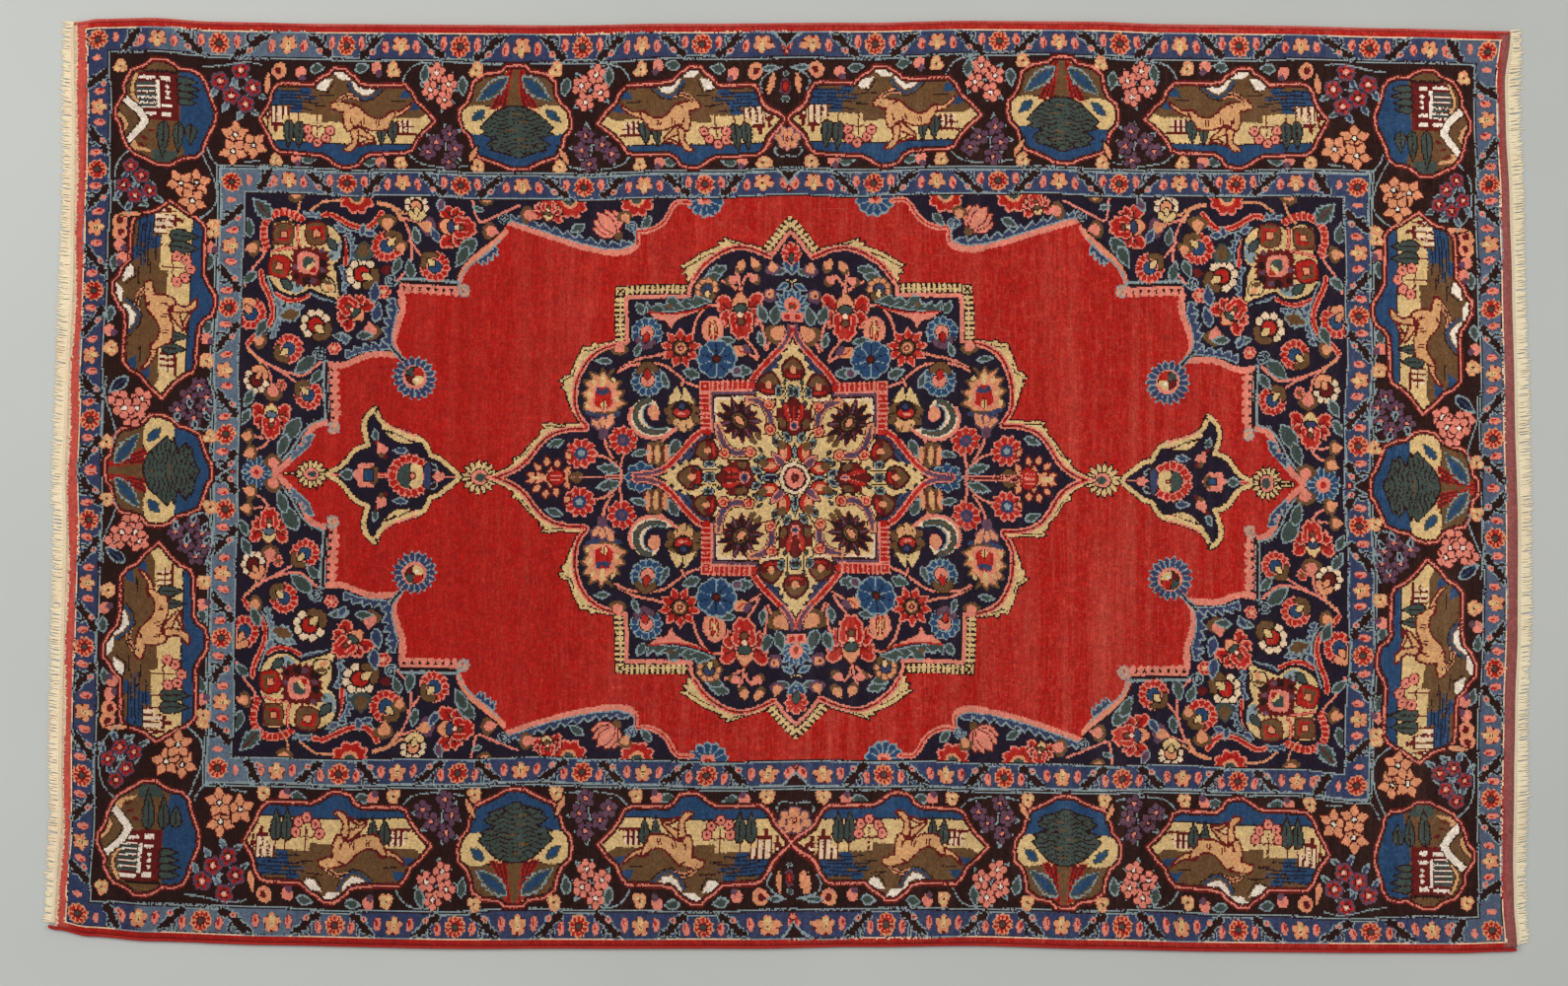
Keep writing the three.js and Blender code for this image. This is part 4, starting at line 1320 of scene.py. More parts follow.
def inner_ground():
    """Gold ground: two pointed arms and a square between them."""
    arm = [(-9, 222), (2, 212), (7, 199), (16, 190), (21, 177), (27, 163), (36, 160), (48, 156),
           (54, 146), (55, 126)]
    other = [(116, 66), (131, 66), (145, 60), (149, 48), (147, 38), (160, 31), (174, 25), (186, 17),
             (199, 9), (199, -9)]
    outline = arm + [(116, 126)] + other + [(-9, -9)]
    framed(outline, GOLD, NIGHT, 2.4)
    for x, y in ((8, 199), (15, 187), (21, 175), (28, 163), (163, 30), (175, 25), (187, 17)):
        disc(x, y, 3.6, GOLD)
    stroke([(30, 124), (114, 124), (114, 42)], 3, IVORY)
    stroke(curve([(28, 122), (26, 104), (26, 80), (34, 70), (48, 72)]), 1.8, NIGHT)
    stroke(curve([(114, 42), (98, 34), (74, 34), (64, 40), (64, 52)]), 1.8, NIGHT)


def dark_sunflower(x, y, r):
    """Dark flower of long pointed petals with purple middles, and a pale heart."""
    for k in range(13):
        turn = 45 + 360 * k / 13
        reach = r * (1.16 + 0.16 * math.cos(math.radians(2 * (turn - 45))))
        framed(turned(petal_shape(reach, 0.36 * r, belly=1.2), x, y, turn), NIGHT, MAROON, 1.6)
        stroke(turned([(0.5 * r, 0), (0.84 * reach, 0)], x, y, turn), 2.6, MAUVE if k % 2 else NAVY)
    disc(x, y, 0.52 * r, NIGHT)
    oval(x, y, 0.86 * r, 0.66 * r, 50, OLIVE)
    oval(x, y, 0.68 * r, 0.48 * r, 50, NIGHT)
    oval(x, y, 0.52 * r, 0.32 * r, 50, PEACH)


def curled_leaf(line, blobs):
    """Purple leaf with a peach edge, rolled up to a small blossom at both ends."""
    path = curve(line)
    stroke(path, 14, NIGHT)
    stroke(path, 11.5, PEACH)
    stroke(path[3:-3], 8, MAUVE)
    stroke(path, 4, MAUVE)
    stroke(path[4:-6], 2, BLUE)
    for x, y in blobs:
        area(lobed(x, y, 9.4, 3, 0.1, x), MAROON)
        area(lobed(x, y, 7.2, 3, 0.1, x), PEACH)
        disc(x, y, 4.6, FIELD)
        disc(x + 0.6, y + 0.6, 2.2, PINK)


def halved_bud(x, y, r, turn):
    """Round bud with a brown crown, a red cup and a pale heart, outlined."""
    shape = [(-0.95, -0.35), (-0.6, -0.95), (0.3, -1.0), (1.25, 0), (0.3, 1.0), (-0.6, 0.95), (-0.95, 0.35)]
    line = turned(curve(shape, True, 3), x, y, turn, r)
    framed(line, OLIVE, MAROON, 4)
    stroke(line, 1.6, NIGHT, closed=True)
    cup = [(-0.9, -0.3), (-0.55, -0.85), (0.1, -0.8), (-0.05, 0), (0.1, 0.8), (-0.55, 0.85), (-0.9, 0.3)]
    area(turned(curve(cup, True, 3), x, y, turn, r), MAROON)
    stroke(turned([(-0.62, -0.5), (-0.7, 0), (-0.62, 0.5)], x, y, turn, r), 4, FIELD)
    oval(*spot(-0.05, 0, x, y, turn, r), 0.75 * r, 0.6 * r, turn, PEACH)


def dark_leaf_pair(x, y, turn):
    """Two short dark leaves, each in a pale green loop."""
    stroke(turned([(-11, 0), (11, 0)], x, y, turn), 2.6, NIGHT)
    for side in (-1, 1):
        place = spot(0, side * 9, x, y, turn)
        oval(*place, 19, 13, turn, NIGHT)
        oval(*place, 16.5, 10.5, turn, MIST)
        oval(*place, 12.5, 7.5, turn, PINE)
        oval(*place, 7, 4, turn, NIGHT)


def arm_palmette(x, y, turn):
    """Red palmette that points out from the centre, with a blue heart at its foot."""
    half = [(-27, 0), (-26, 9), (-31, 15), (-20, 14), (-18, 24), (-9, 22), (-3, 27), (3, 21), (11, 18),
            (9, 12), (20, 9), (31, 0)]
    framed(turned(mirrored(half), x, y, turn), MAROON, NIGHT, 2.4)
    for side in (-2, 2, -1, 1, 0):
        petal = petal_shape(42 - 6 * abs(side), 12, belly=1.0)
        foot = spot(-13, 3 * side, x, y, turn)
        framed(turned(petal, *foot, turn + 17 * side), FIELD if side % 2 else MAROON, MAROON, 1.8)
        vein = turned([(-6, 4.2 * side), (14 - 4 * abs(side), 7.4 * side)], x, y, turn)
        stroke(vein, 1.6, PINK if side % 2 else FIELD)
    for side in (-1, 1):
        oval(*spot(-9, side * 18, x, y, turn), 15, 10, turn + 20 * side, OLIVE)
        stroke(turned([(-20, side * 12), (-2, side * 12)], x, y, turn), 1.6, NIGHT)
    place = spot(-13, 0, x, y, turn)
    disc(*place, 7.2, PINK)
    disc(*place, 5.2, BLUE)
    disc(*place, 2, NIGHT)


def centre_star():
    """Petals and a ringed disc at the middle of the rug."""
    for turn in (0, 90):
        for side in (-1, 1):
            x, y = spot(38, side * 17, AXIS_X, AXIS_Y, turn)
            oval(x, y, 30, 22, turn, NIGHT)
            oval(x, y, 26, 18, turn, FIELD)
            oval(x + 2, y, 18, 11, turn, PEACH)
            oval(*spot(48, side * 20, AXIS_X, AXIS_Y, turn), 14, 12, turn, OLIVE)
    for turn in (0, 90):
        for length, width, start, ink in ((36, 15, 22, NIGHT), (31, 11, 23, MIST), (26, 7, 24, NAVY)):
            area(turned(petal_shape(length, width), *spot(start, 0, AXIS_X, AXIS_Y, turn), turn), ink)
    root = spot(24, 0, AXIS_X, AXIS_Y, 45)
    for length, width, ink in ((30, 17, NIGHT), (27, 14, PINK), (23, 9, MAUVE)):
        area(turned(petal_shape(length, width), *root, 45), ink)
    for r, ink in ((27.5, NIGHT), (25.5, IVORY), (20.5, NIGHT), (17, PINK), (9.5, MAROON), (5, OLIVE)):
        area(lobed(AXIS_X, AXIS_Y, r, 8, 0.05, 0), ink)


def inner_medallion():
    """Gold ground with its flowers, inside the toothed ribbon."""
    inner_edge()
    inner_ground()
    dark_sunflower(81, 91, 28)
    curled_leaf([(38, 80), (36, 94), (40, 107), (50, 117), (66, 121)], [(38, 78), (37, 114)])
    curled_leaf([(72, 46), (88, 44), (102, 51), (110, 66), (113, 84)], [(69, 45), (106, 44)])
    for x, y in ((56, 68), (64, 62)):
        oval(x, y, 14, 9, 225, OLIVE)
    for x, y, r, turn in ((2, 166, 15, 90), (37, 143, 15, 100), (131, 48, 15, -10), (154, 9, 16, 0)):
        halved_bud(x, y, r, turn)
    for x, y, turn in ((2, 98, 90), (90, 9, 0)):
        arm_palmette(x, y, turn)
    for x, y, turn in ((14, 134, 90), (128, 20, 0), (22, 65, 60), (55, 27, 30)):
        dark_leaf_pair(x, y, turn)
    for x, y, turn in ((14, 148, 90), (146, 22, 0), (54, 48, 45), (112, 24, 0), (18, 118, 90),
                       (60, 34, 20), (34, 62, 70)):
        oval(x, y, 10, 6, turn, NIGHT)
        oval(x, y, 7, 3.4, turn, PINE)
    centre_star()


def crescent():
    """Leaf curled round on itself, with pink and pine edges, and a pale bud in its bend."""
    outer = [(196, 104), (200, 116), (210, 124), (226, 121), (237, 110), (242, 94), (236, 77), (222, 67),
             (204, 65), (188, 70), (174, 80)]
    inner = [(186, 81), (200, 78), (214, 82), (221, 92), (222, 102), (216, 112), (208, 114)]
    shape = curve(outer) + curve(inner)
    framed(shape, IVORY, NIGHT, 2)
    stroke(curve(outer[4:]), 5, PINK)
    body = [(212, 120), (224, 115), (232, 102), (231, 88), (222, 78), (208, 74), (192, 77)]
    stroke(curve(body), 9, PINE)
    stroke(curve(body), 1.5, OLIVE)
    stroke(curve(inner), 1.8, MIST)
    framed(curve([(201, 93), (198, 104), (206, 113), (214, 104), (210, 94)], True, 3), PEACH, PINK, 2)


def serrated_palmette():
    """Long serrated leaf with a pink fan under it, in the upper step."""
    lower = [(122, 262), (140, 252), (160, 244), (172, 238), (178, 225), (186, 238), (198, 240),
             (214, 252), (170, 250)]
    framed(lower, PINK, NIGHT, 1.8)
    upper = [(118, 264), (130, 267), (142, 270), (146, 265), (156, 268), (164, 262), (172, 268), (182, 268),
             (186, 260), (196, 262), (206, 258), (214, 264), (213, 252), (198, 252), (170, 254), (144, 258)]
    framed([(x, y + 0.5 * max(0, y - 255)) for x, y in upper], PINE, MIST, 2)
    for x in (148, 164, 180, 196):
        stroke([(x - 8, 258), (x + 4, 266)], 1.8, MIST if x % 32 else OLIVE)
    stroke(curve([(120, 262), (146, 254), (176, 250), (212, 252)]), 2.4, FIELD)
    oval(180, 262, 10, 6, 0, OLIVE)


def side_palmette():
    """Serrated peach flower in the side lobe, with a red heart over a blue leaf."""
    back = [(262, 168), (270, 156), (262, 148), (252, 150), (258, 138), (246, 134), (254, 124), (244, 116),
            (256, 110), (262, 104), (300, 104), (306, 114), (300, 124), (308, 134), (298, 140),
            (304, 152), (292, 154), (296, 166), (282, 160), (278, 170), (272, 160)]
    framed(back, PEACH, OLIVE, 3)
    for x, y in ((262, 152), (268, 138), (258, 124), (290, 150), (296, 132), (300, 116)):
        oval(x, y, 10, 5, 60, GOLD)
    framed([(262, 116), (266, 140), (276, 146), (288, 142), (292, 116), (276, 106)], FIELD, PINK, 2.6)
    area([(266, 134), (272, 142), (277, 136), (284, 143), (288, 134), (277, 130)], BLUE)
    stroke([(277, 158), (277, 144)], 5, GOLD)
    oval(277, 115, 8, 14, 0, GOLD)
    stroke([(277, 124), (277, 110)], 2, MAROON)
    stroke(curve([(256, 102), (276, 98), (300, 106)]), 7, BLUE)
    stroke(curve([(254, 98), (276, 94), (302, 102)]), 2, NIGHT)


def closed_tulip(x, y, turn):
    """Flower of long striped petals closed over a gold heart."""
    shape = [(-18, -5), (-18, 5), (-12, 12), (2, 15), (13, 10), (20, 0), (13, -10), (2, -15), (-12, -12)]
    framed(turned(curve(shape, True, 3), x, y, turn), PEACH, PINK, 3)
    oval(*spot(4, 0, x, y, turn), 22, 9, turn, GOLD)
    for side, ink in ((-11, PINK), (-7, MAROON), (7, MAROON), (11, PINK), (-3, FIELD), (3, FIELD)):
        line = curve([(-15, 0.5 * side), (-2, 0.9 * side), (13, 0.5 * side)])
        stroke(turned(line, x, y, turn), 1.8, ink)


def medallion_flowers():
    """Flowers of one quarter of the medallion over their stems."""
    for line in (
        [(95, 264), (112, 262), (124, 262), (138, 246), (145, 226), (148, 214)],
        [(184, 192), (204, 186), (226, 182), (248, 172), (258, 164)],
        [(140, 141), (158, 148), (172, 160), (190, 172), (214, 175), (240, 172), (256, 164)],
        [(160, 152), (164, 142)],
        [(43, 196), (42, 212), (46, 232), (52, 244)],
        [(40, 194), (34, 208), (32, 214)],
        [(52, 178), (56, 192), (66, 206), (72, 214)],
        [(54, 180), (66, 188), (78, 194)],
        [(128, 180), (140, 182)],
        [(76, 282), (74, 296), (66, 306)],
        [(80, 284), (92, 292), (104, 298)],
        [(78, 284), (80, 300), (84, 310)],
        [(256, 18), (266, 34), (276, 52), (281, 74)],
        [(258, 22), (276, 38), (294, 44)],
        [(258, 22), (254, 36), (253, 44)],
        [(180, 76), (194, 64), (200, 54)],
    ):
        vine(line, PINK, 3.6, NIGHT)
    # Head of the medallion
    leaf(2, 332, 29, 27, -90, WATER, MIST)
    for x in (-4, 8):
        stroke([(x, 324), (2 + 0.4 * (x - 2), 310)], 1.5, MIST)
    stroke([(2, 308), (2, 286)], 2.2, PINK)
    stroke([(2, 294), (10, 298)], 2, GOLD)
    leaf(12, 312, 22, 9, -20, PINE, MIST)
    leaf(8, 292, 18, 8, -30, WATER, MIST)
    leaf(38, 312, 14, 7, 170, PINE, MIST)
    rosette(2, 335, 18, 9, FIELD, PINK, FIELD)
    oval(2, 328, 21, 15, 90, NIGHT)
    oval(2, 328, 18, 12, 90, PINE)
    for k in range(11):
        leaf(2, 260, 28 if 2 < k < 8 else 24, 10, -40 + 26 * k, WATER, MIST)
    area([(-14, 251), (18, 251), (15, 237), (-11, 237)], PINK)
    for x in (-4, 8):
        disc(x, 244, 4.4, FIELD)
    disc(2, 262, 11, PINK)
    disc(2, 260, 5.5, FIELD)
    disc(2, 259, 3.4, OLIVE)
    for x, y, turn, ink in ((78, 316, 120, PEACH), (54, 318, 60, PEACH), (92, 298, 160, PINK),
                            (56, 298, 40, PINK)):
        oval(x, y, 17, 14, turn, OLIVE)
        bud(*spot(-3, 0, x, y, turn), 17, turn, ink)
    bud(29, 304, 20, 80, PEACH, MAUVE)
    disc(34, 275, 10.5, MAUVE)
    disc(34, 277, 6.5, PEACH)
    disc(35, 276, 2.2, MAROON)
    leaf(98, 318, 34, 18, -22, PINE, MIST, 3)
    leaf(106, 306, 26, 12, -10, PINE, MIST)
    ring_flower(126, 286, 19, -100, PEACH, OLIVE, BLUE, GOLD, OLIVE, 9)
    peony(76, 250, 38, -92, PINE, PEACH, 0.82)
    leaf(28, 232, 30, 16, 100, PINE, MIST)
    leaf(40, 236, 28, 14, 70, PINE, MIST)
    bud(34, 205, 32, 130, PEACH, OLIVE)
    closed_tulip(117, 226, 90)
    leaf(86, 209, 26, 10, 6, PINE, MIST)
    leaf(46, 200, 22, 10, 80, PINE, MIST)
    serrated_palmette()
    ring_flower(214, 222, 24, -80, WATER, MIST, PINK, FIELD, MAUVE, 11)
    leaf(218, 250, 20, 12, 60, PINE, MIST)
    for k in range(9):
        leaf(165, 198, 30, 15, 10 + 40 * k, FIELD, PINK)
    for k in range(9):
        oval(*spot(14, 0, 165, 198, 30 + 40 * k), 14, 5, 30 + 40 * k, MAROON)
    for r, ink in ((13, NIGHT), (10, OLIVE), (7.6, PEACH), (4.6, MAROON), (2.2, PINK)):
        disc(165, 198, r, ink)
    framed(curve([(66, 194), (76, 202), (88, 200), (92, 190), (82, 184), (70, 186)], True, 3), PEACH,
           NIGHT, 1.8)
    stroke(curve([(70, 190), (78, 192), (82, 198)]), 2.6, FIELD)
    oval(69, 196, 16, 10, 60, MAUVE)
    area(lobed(113, 182, 30, 10, 0.1, 0), MIST)
    area(lobed(113, 182, 27.5, 10, 0.1, 0), WATER)
    for k in range(10):
        stroke(turned([(6, 0), (24, 0)], 113, 182, 18 + 36 * k), 1.5, MIST if k % 2 else NAVY)
    disc(113, 182, 7, NIGHT)
    disc(113, 182, 3.6, MAROON)
    leaf(62, 162, 34, 18, 4, PINE, MIST, 3)
    disc(84, 163, 8, MIST)
    disc(84, 163, 5.4, MAUVE)
    leaf(138, 156, 26, 18, 20, PINE, MIST, 3)
    ring_flower(213, 150, 25, 85, WATER, MIST, PINK, FIELD, OLIVE, 12)
    leaf(184, 138, 26, 10, 70, PINE, MIST)
    bud(254, 188, 22, 90, PINK, OLIVE)
    leaf(232, 186, 22, 9, 110, PINE, MIST)
    leaf(266, 180, 22, 9, 6, PINE, MIST)
    # Brown flower with gold horns
    area(lobed(163, 102, 28, 9, 0.22, 90), OLIVE)
    area(lobed(163, 90, 15, 5, 0.2, 270), TAN)
    for k in range(9):
        stroke(turned([(17, 0), (26, 0)], 163, 102, 20 + 40 * k), 1.4, NIGHT)
    disc(164, 106, 15, NIGHT)
    area([(146, 116), (152, 130), (160, 141), (164, 128), (170, 141), (180, 126), (184, 114), (174, 118),
          (164, 122), (154, 119)], GOLD)
    stroke([(164, 124), (162, 138)], 2, NIGHT)
    oval(164, 103, 24, 15, 0, FIELD)
    disc(163, 112, 7.6, NAVY)
    disc(163, 112, 4, BLUE)
    oval(165, 101, 13, 4, 0, PINK)
    crescent()
    side_palmette()
    fan(281, 74, 28, 92, 100, 3, PEACH, MAUVE, MAUVE)
    bud(272, 92, 14, 130, PEACH)
    rosette(253, 63, 22, 9, FIELD, PINK, BLUE, MAUVE, 15)
    rosette(312, 47, 23, 10, FIELD, PINK, BLUE, MIST)
    area(lobed(204, 43, 20, 7, 0.2, 0), OLIVE)
    for x in (190, 204, 216):
        oval(x, 42, 8, 28, 0, PEACH if x != 204 else TAN)
    for x in (184, 197, 210, 222):
        stroke([(x, 30), (x, 54)], 1.4, MAROON)
    leaf(172, 64, 28, 14, -60, PINE, MIST)
    leaf(218, 46, 24, 10, -12, PINE, MIST)
    leaf(258, 18, 32, 17, 14, PINE, MIST, 3)
    leaf(336, 66, 24, 11, -20, PINE, MIST)
    for x, y, turn in ((330, 22, 120), (344, 32, 95), (358, 34, 80), (370, 26, 50), (378, 14, 20),
                       (352, 20, 90), (366, 14, 40)):
        leaf(*spot(-6, 0, x, y, turn), 15, 10, turn, PEACH, MAROON)
    area([(308, -6), (308, 14), (318, 22), (334, 16), (346, 22), (360, 16), (372, 10), (376, -6)], PEACH)
    framed(curve([(306, 12), (316, 22), (328, 14), (330, 2), (308, 0)], True, 3), OLIVE, NIGHT, 1.8)
    framed(curve([(334, -2), (334, 16), (344, 24), (354, 18), (358, 9), (354, -2)], True, 3), FIELD,
           MAROON, 2)
    for y in (3, 9, 15):
        stroke([(340, y), (352, y)], 1.8, PINK)
    oval(326, 9, 14, 7, 0, GOLD)
    oval(372, 9, 16, 9, 0, GOLD)
    leaf(326, 38, 16, 9, 60, PEACH, MAROON)
    rosette(228, 8, 24, 8, WATER, MIST, PINK, PINE)
    area([(252, 6), (336, 6), (336, 12), (252, 12)], PINK)
    stroke([(252, 9), (336, 9)], 2.2, MAROON)
    stroke([(256, 9), (256, 20)], 3, PINK)


def draw_medallion():
    medallion_ground()
    medallion_flowers()
    inner_medallion()


def draw_all():
    """Ground first, then the borders over its overlapping edges."""
    draw_spandrel()
    draw_medallion()
    ground = chart[:GROUND_Y, :GROUND_X].copy()
    draw_bands()
    chart[:GROUND_Y, :GROUND_X] = ground
    draw_guards()
    draw_border()


# Knots: the chart mirrored over the whole rug, with the unevenness of hand work

# A knot's pitch in millimetres, the knots along and across that each face carries, and the number
# base that packs a row of their colour numbers into one number
KNOT = 1.95
PATCH_LONG = 6
PATCH_ACROSS = 3
DIGIT = 16

# Where the chart's own outer edges lie
CHART_HALF_WIDTH = 667
CHART_HALF_LENGTH = 1040

# Middle of the rim's height, the cords' yarn, and the fringes' strands: how many, and how far
# sideways each leans for its length
RIM_HEIGHT = 3.2
YARN = 2.5
STRANDS = 780
STRAND_SLANT = 0.10


def rising(value, low, high):
    """Share from 0 to 1 that rises smoothly between two values."""
    t = np.clip((value - low) / (high - low), 0, 1)
    return t * t * (3 - 2 * t)


# How far the real drawing strays from the mirrored chart, measured on the photograph with a scratch
# script, then rounded and thinned by hand. Each row has its height on the rug, then places along it
# with two shifts in millimetres: how far to the left, and how far down, the drawing stands there from
# its place in the chart.
STRAYS = {
    645: [(-1000, -4, 0), (-700, -11, 0), (-580, 8, 0), (-300, 9, 0), (-130, 17, 0), (-44, 21, 0),
          (-8, 10, 0), (30, -3, 0), (700, 3, 0), (1000, -2, 0)],
    560: [(-1000, -5, 0), (-800, -8, 4), (-620, 0, 12), (-450, 14, 12), (-200, 15, 12), (-90, 25, 10),
          (-45, 27, 8), (-8, 11, 5), (27, -2, 4), (700, 3, 7), (900, -8, 0), (1000, -3, 0)],
    290: [(-1000, 0, -4), (-800, -6, 2), (-600, 0, 9), (-200, -4, 12), (0, 0, 6), (420, -6, 4),
          (600, 0, 1), (1000, 0, 6)],
    0: [(-1000, -4, 0), (-800, -8, 0), (-700, 0, 3), (-400, -4, 6), (-200, -10, 3), (0, -7, 3), (200, -2, 1),
        (600, 0, 4), (800, 6, 8), (1000, 1, 10)],
    -300: [(-1000, 0, -4), (-800, -6, 0), (-700, 0, 2), (-580, -9, -3), (-400, -6, 0), (0, -11, 0),
           (100, -18, -3), (300, -11, -3), (500, -10, 3), (800, 0, 9), (1000, 2, 13)],
    -450: [(-1000, 0, 8), (-800, -3, 0), (-300, 0, -6), (-35, 2, -2), (60, -24, 0), (200, -22, 0),
           (450, -7, 1), (720, 3, 0), (820, 5, 9), (900, 6, 20), (1000, 3, 22)],
    -560: [(-1000, 0, 0), (-800, -3, -2), (-300, 0, -8), (-35, 9, -6), (6, -3, -6), (51, -27, -4),
           (320, -15, -6), (420, -5, -6), (720, 6, -2), (820, 3, 5), (1000, 3, 5)],
    -645: [(-1000, 0, 0), (-700, -8, 0), (-580, 0, 0), (-35, 3, 0), (13, -11, 0), (60, -32, 0),
           (330, -10, 0), (500, -5, 0), (700, 6, 0), (1000, 0, 0)],
}


def strayed(x, y):
    """Places of the mirrored chart that show at places of the rug."""
    heights = sorted(STRAYS)
    share = np.clip(np.interp(y, heights, range(len(heights))), 0, len(heights) - 1.001)
    row, part = share.astype(int)[None], share % 1
    moved = []
    for place, column in ((x, 1), (y, 2)):
        shifts = np.stack([along([(note[0], note[column]) for note in STRAYS[h]], x) for h in heights])
        low, high = (np.take_along_axis(shifts, row + k, 0)[0] for k in (0, 1))
        moved.append(place + low + (high - low) * part)
    return moved


def knot_colours(x, y):
    """Colour numbers of knots at places in the outline's own numbers."""
    from_end = x - along(LEFT_END, y)
    x, y = strayed(x, y)
    up, right = y >= AXIS_Y, x >= AXIS_X
    shift = 2 * AXIS_Y * (1 - rising(-y, 400, 660))
    across = np.where(up, y, np.maximum(shift - y, AXIS_Y))
    lengthways = np.where(right, x, 2 * AXIS_X - x)
    # The borders follow the rug's uneven edges
    long_edge = np.where(up, along(UPPER_EDGE, x), -along(LOWER_EDGE, x))
    short_edge = np.where(right, along(RIGHT_END, y), 2 * AXIS_X - along(LEFT_END, y))
    across = across + (CHART_HALF_WIDTH - long_edge) * rising(across, 250, 640)
    lengthways = lengthways + (CHART_HALF_LENGTH - short_edge) * rising(lengthways, 450, 1000)
    # The weaver's hand: slow drifts of the lines, and single knots out of place
    drift_x = 1.6 * np.sin(y / 57 + 1.3) + 1.1 * np.sin(y / 23 + x / 310) + 0.8 * np.sin(x / 43 + 2.1)
    drift_y = 1.7 * np.sin(x / 71 + 0.4) + 1.0 * np.sin(x / 29 - y / 270) + 0.8 * np.sin(y / 37 + 0.7)
    free = (1 - rising(lengthways, 990, 1030)) * (1 - rising(across, 620, 655))
    stray = np.random.default_rng(11).uniform(-0.45, 0.45, (2,) + x.shape)
    column = (lengthways + drift_x * free + stray[0]).astype(int)
    row = (across + drift_y * free + stray[1]).astype(int)
    ink = chart[np.clip(row, 0, CHART_HEIGHT - 1), np.clip(column, 0, CHART_WIDTH - 1)]
    # The left fringe's cotton is felted into the first knots
    felted = from_end < 4.6 + 3 * stray[1] + 1.2 * np.sin(y / 31)
    return np.where(felted, IVORY, ink)


def sheet_point(s, t):
    """Place on the knotted sheet at shares s of its length and t of its width."""
    y = WIDTH * (t - 0.5)
    left, right = along(LEFT_END, y), along(RIGHT_END, y)
    x = left + (right - left) * s
    inset = CORD_WIDTH + GAP
    low, high = along(LOWER_EDGE, x) + inset, along(UPPER_EDGE, x) - inset
    return x, low + (high - low) * t


def to_model(points):
    """Points in millimetres about the outline's origin, as points of the model in metres."""
    points = np.asarray(points, float)
    return (points - np.array([MIDDLE_X, MIDDLE_Y, 0])) * MM


def new_object(name, points, faces):
    """Mesh object made of points in metres."""
    mesh = bpy.data.meshes.new(name)
    mesh.from_pydata([tuple(p) for p in points], [], [tuple(int(i) for i in f) for f in faces])
    mesh.update()
    piece = bpy.data.objects.new(name, mesh)
    bpy.context.scene.collection.objects.link(piece)
    return piece


def make_pile():
    """Knotted sheet: a grid of faces above and below, and a rim between them."""
    long_count = round(LENGTH / (KNOT * PATCH_LONG))
    wide_count = round((WIDTH - 2 * CORD_WIDTH) / (KNOT * PATCH_ACROSS))
    s, t = np.meshgrid(np.arange(long_count + 1) / long_count, np.arange(wide_count + 1) / wide_count,
                       indexing="ij")
    x, y = sheet_point(s, t)
    # Distance in from the rim, which rounds the pile over and frays it a little
    lengthways = np.minimum(s, 1 - s) * LENGTH
    crossways = np.minimum(t, 1 - t) * WIDTH
    rim = np.minimum(lengthways, crossways)
    rng = np.random.default_rng(5)
    grain = rng.uniform(-1, 1, x.shape)
    top = pile_top(x, y) - SHOULDER_DROP * (rim <= 0.01) + 0.12 * grain
    grid = s.shape
    index = np.arange(s.size).reshape(grid)
    upper = np.stack([x, y, top], -1).reshape(-1, 3)
    under = np.stack([x, y, np.zeros_like(x)], -1).reshape(-1, 3)
    middle = np.stack([x, y, np.full_like(x, RIM_HEIGHT)], -1).reshape(-1, 3)
    around = np.concatenate([index[:, 0], index[-1, 1:], index[-2::-1, -1], index[0, -2:0:-1]])
    count = s.size
    points = np.concatenate([upper, under, middle[around]])
    a, b, c, d = index[:-1, :-1], index[1:, :-1], index[1:, 1:], index[:-1, 1:]
    top_faces = np.stack([a, b, c, d], -1).reshape(-1, 4)
    low_faces = np.stack([a, d, c, b], -1).reshape(-1, 4) + count
    ring = 2 * count + np.arange(len(around))
    after = np.roll(np.arange(len(around)), -1)
    wall_up = np.stack([around, ring, ring[after], around[after]], -1)
    wall_low = np.stack([ring, around + count, around[after] + count, ring[after]], -1)
    faces = np.concatenate([top_faces, low_faces, wall_up, wall_low])
    piece = new_object("pile", to_model(points), faces)
    give_knots(piece.data, grid, sheet_patch(long_count, wide_count))
    return piece


def sheet_patch(long_count, wide_count):
    """Knot colours of each face of the grid, packed as one number for each of its rows of knots."""
    columns, rows = long_count * PATCH_LONG, wide_count * PATCH_ACROSS
    s, t = np.meshgrid((np.arange(columns) + 0.5) / columns, (np.arange(rows) + 0.5) / rows, indexing="ij")
    x, y = sheet_point(s, t)
    ink = knot_colours(x, y).astype(np.int64)
    ink = ink.reshape(long_count, PATCH_LONG, wide_count, PATCH_ACROSS)
    powers = (DIGIT ** np.arange(PATCH_LONG)).reshape(1, PATCH_LONG, 1, 1)
    return (ink * powers).sum(1).reshape(-1, PATCH_ACROSS)


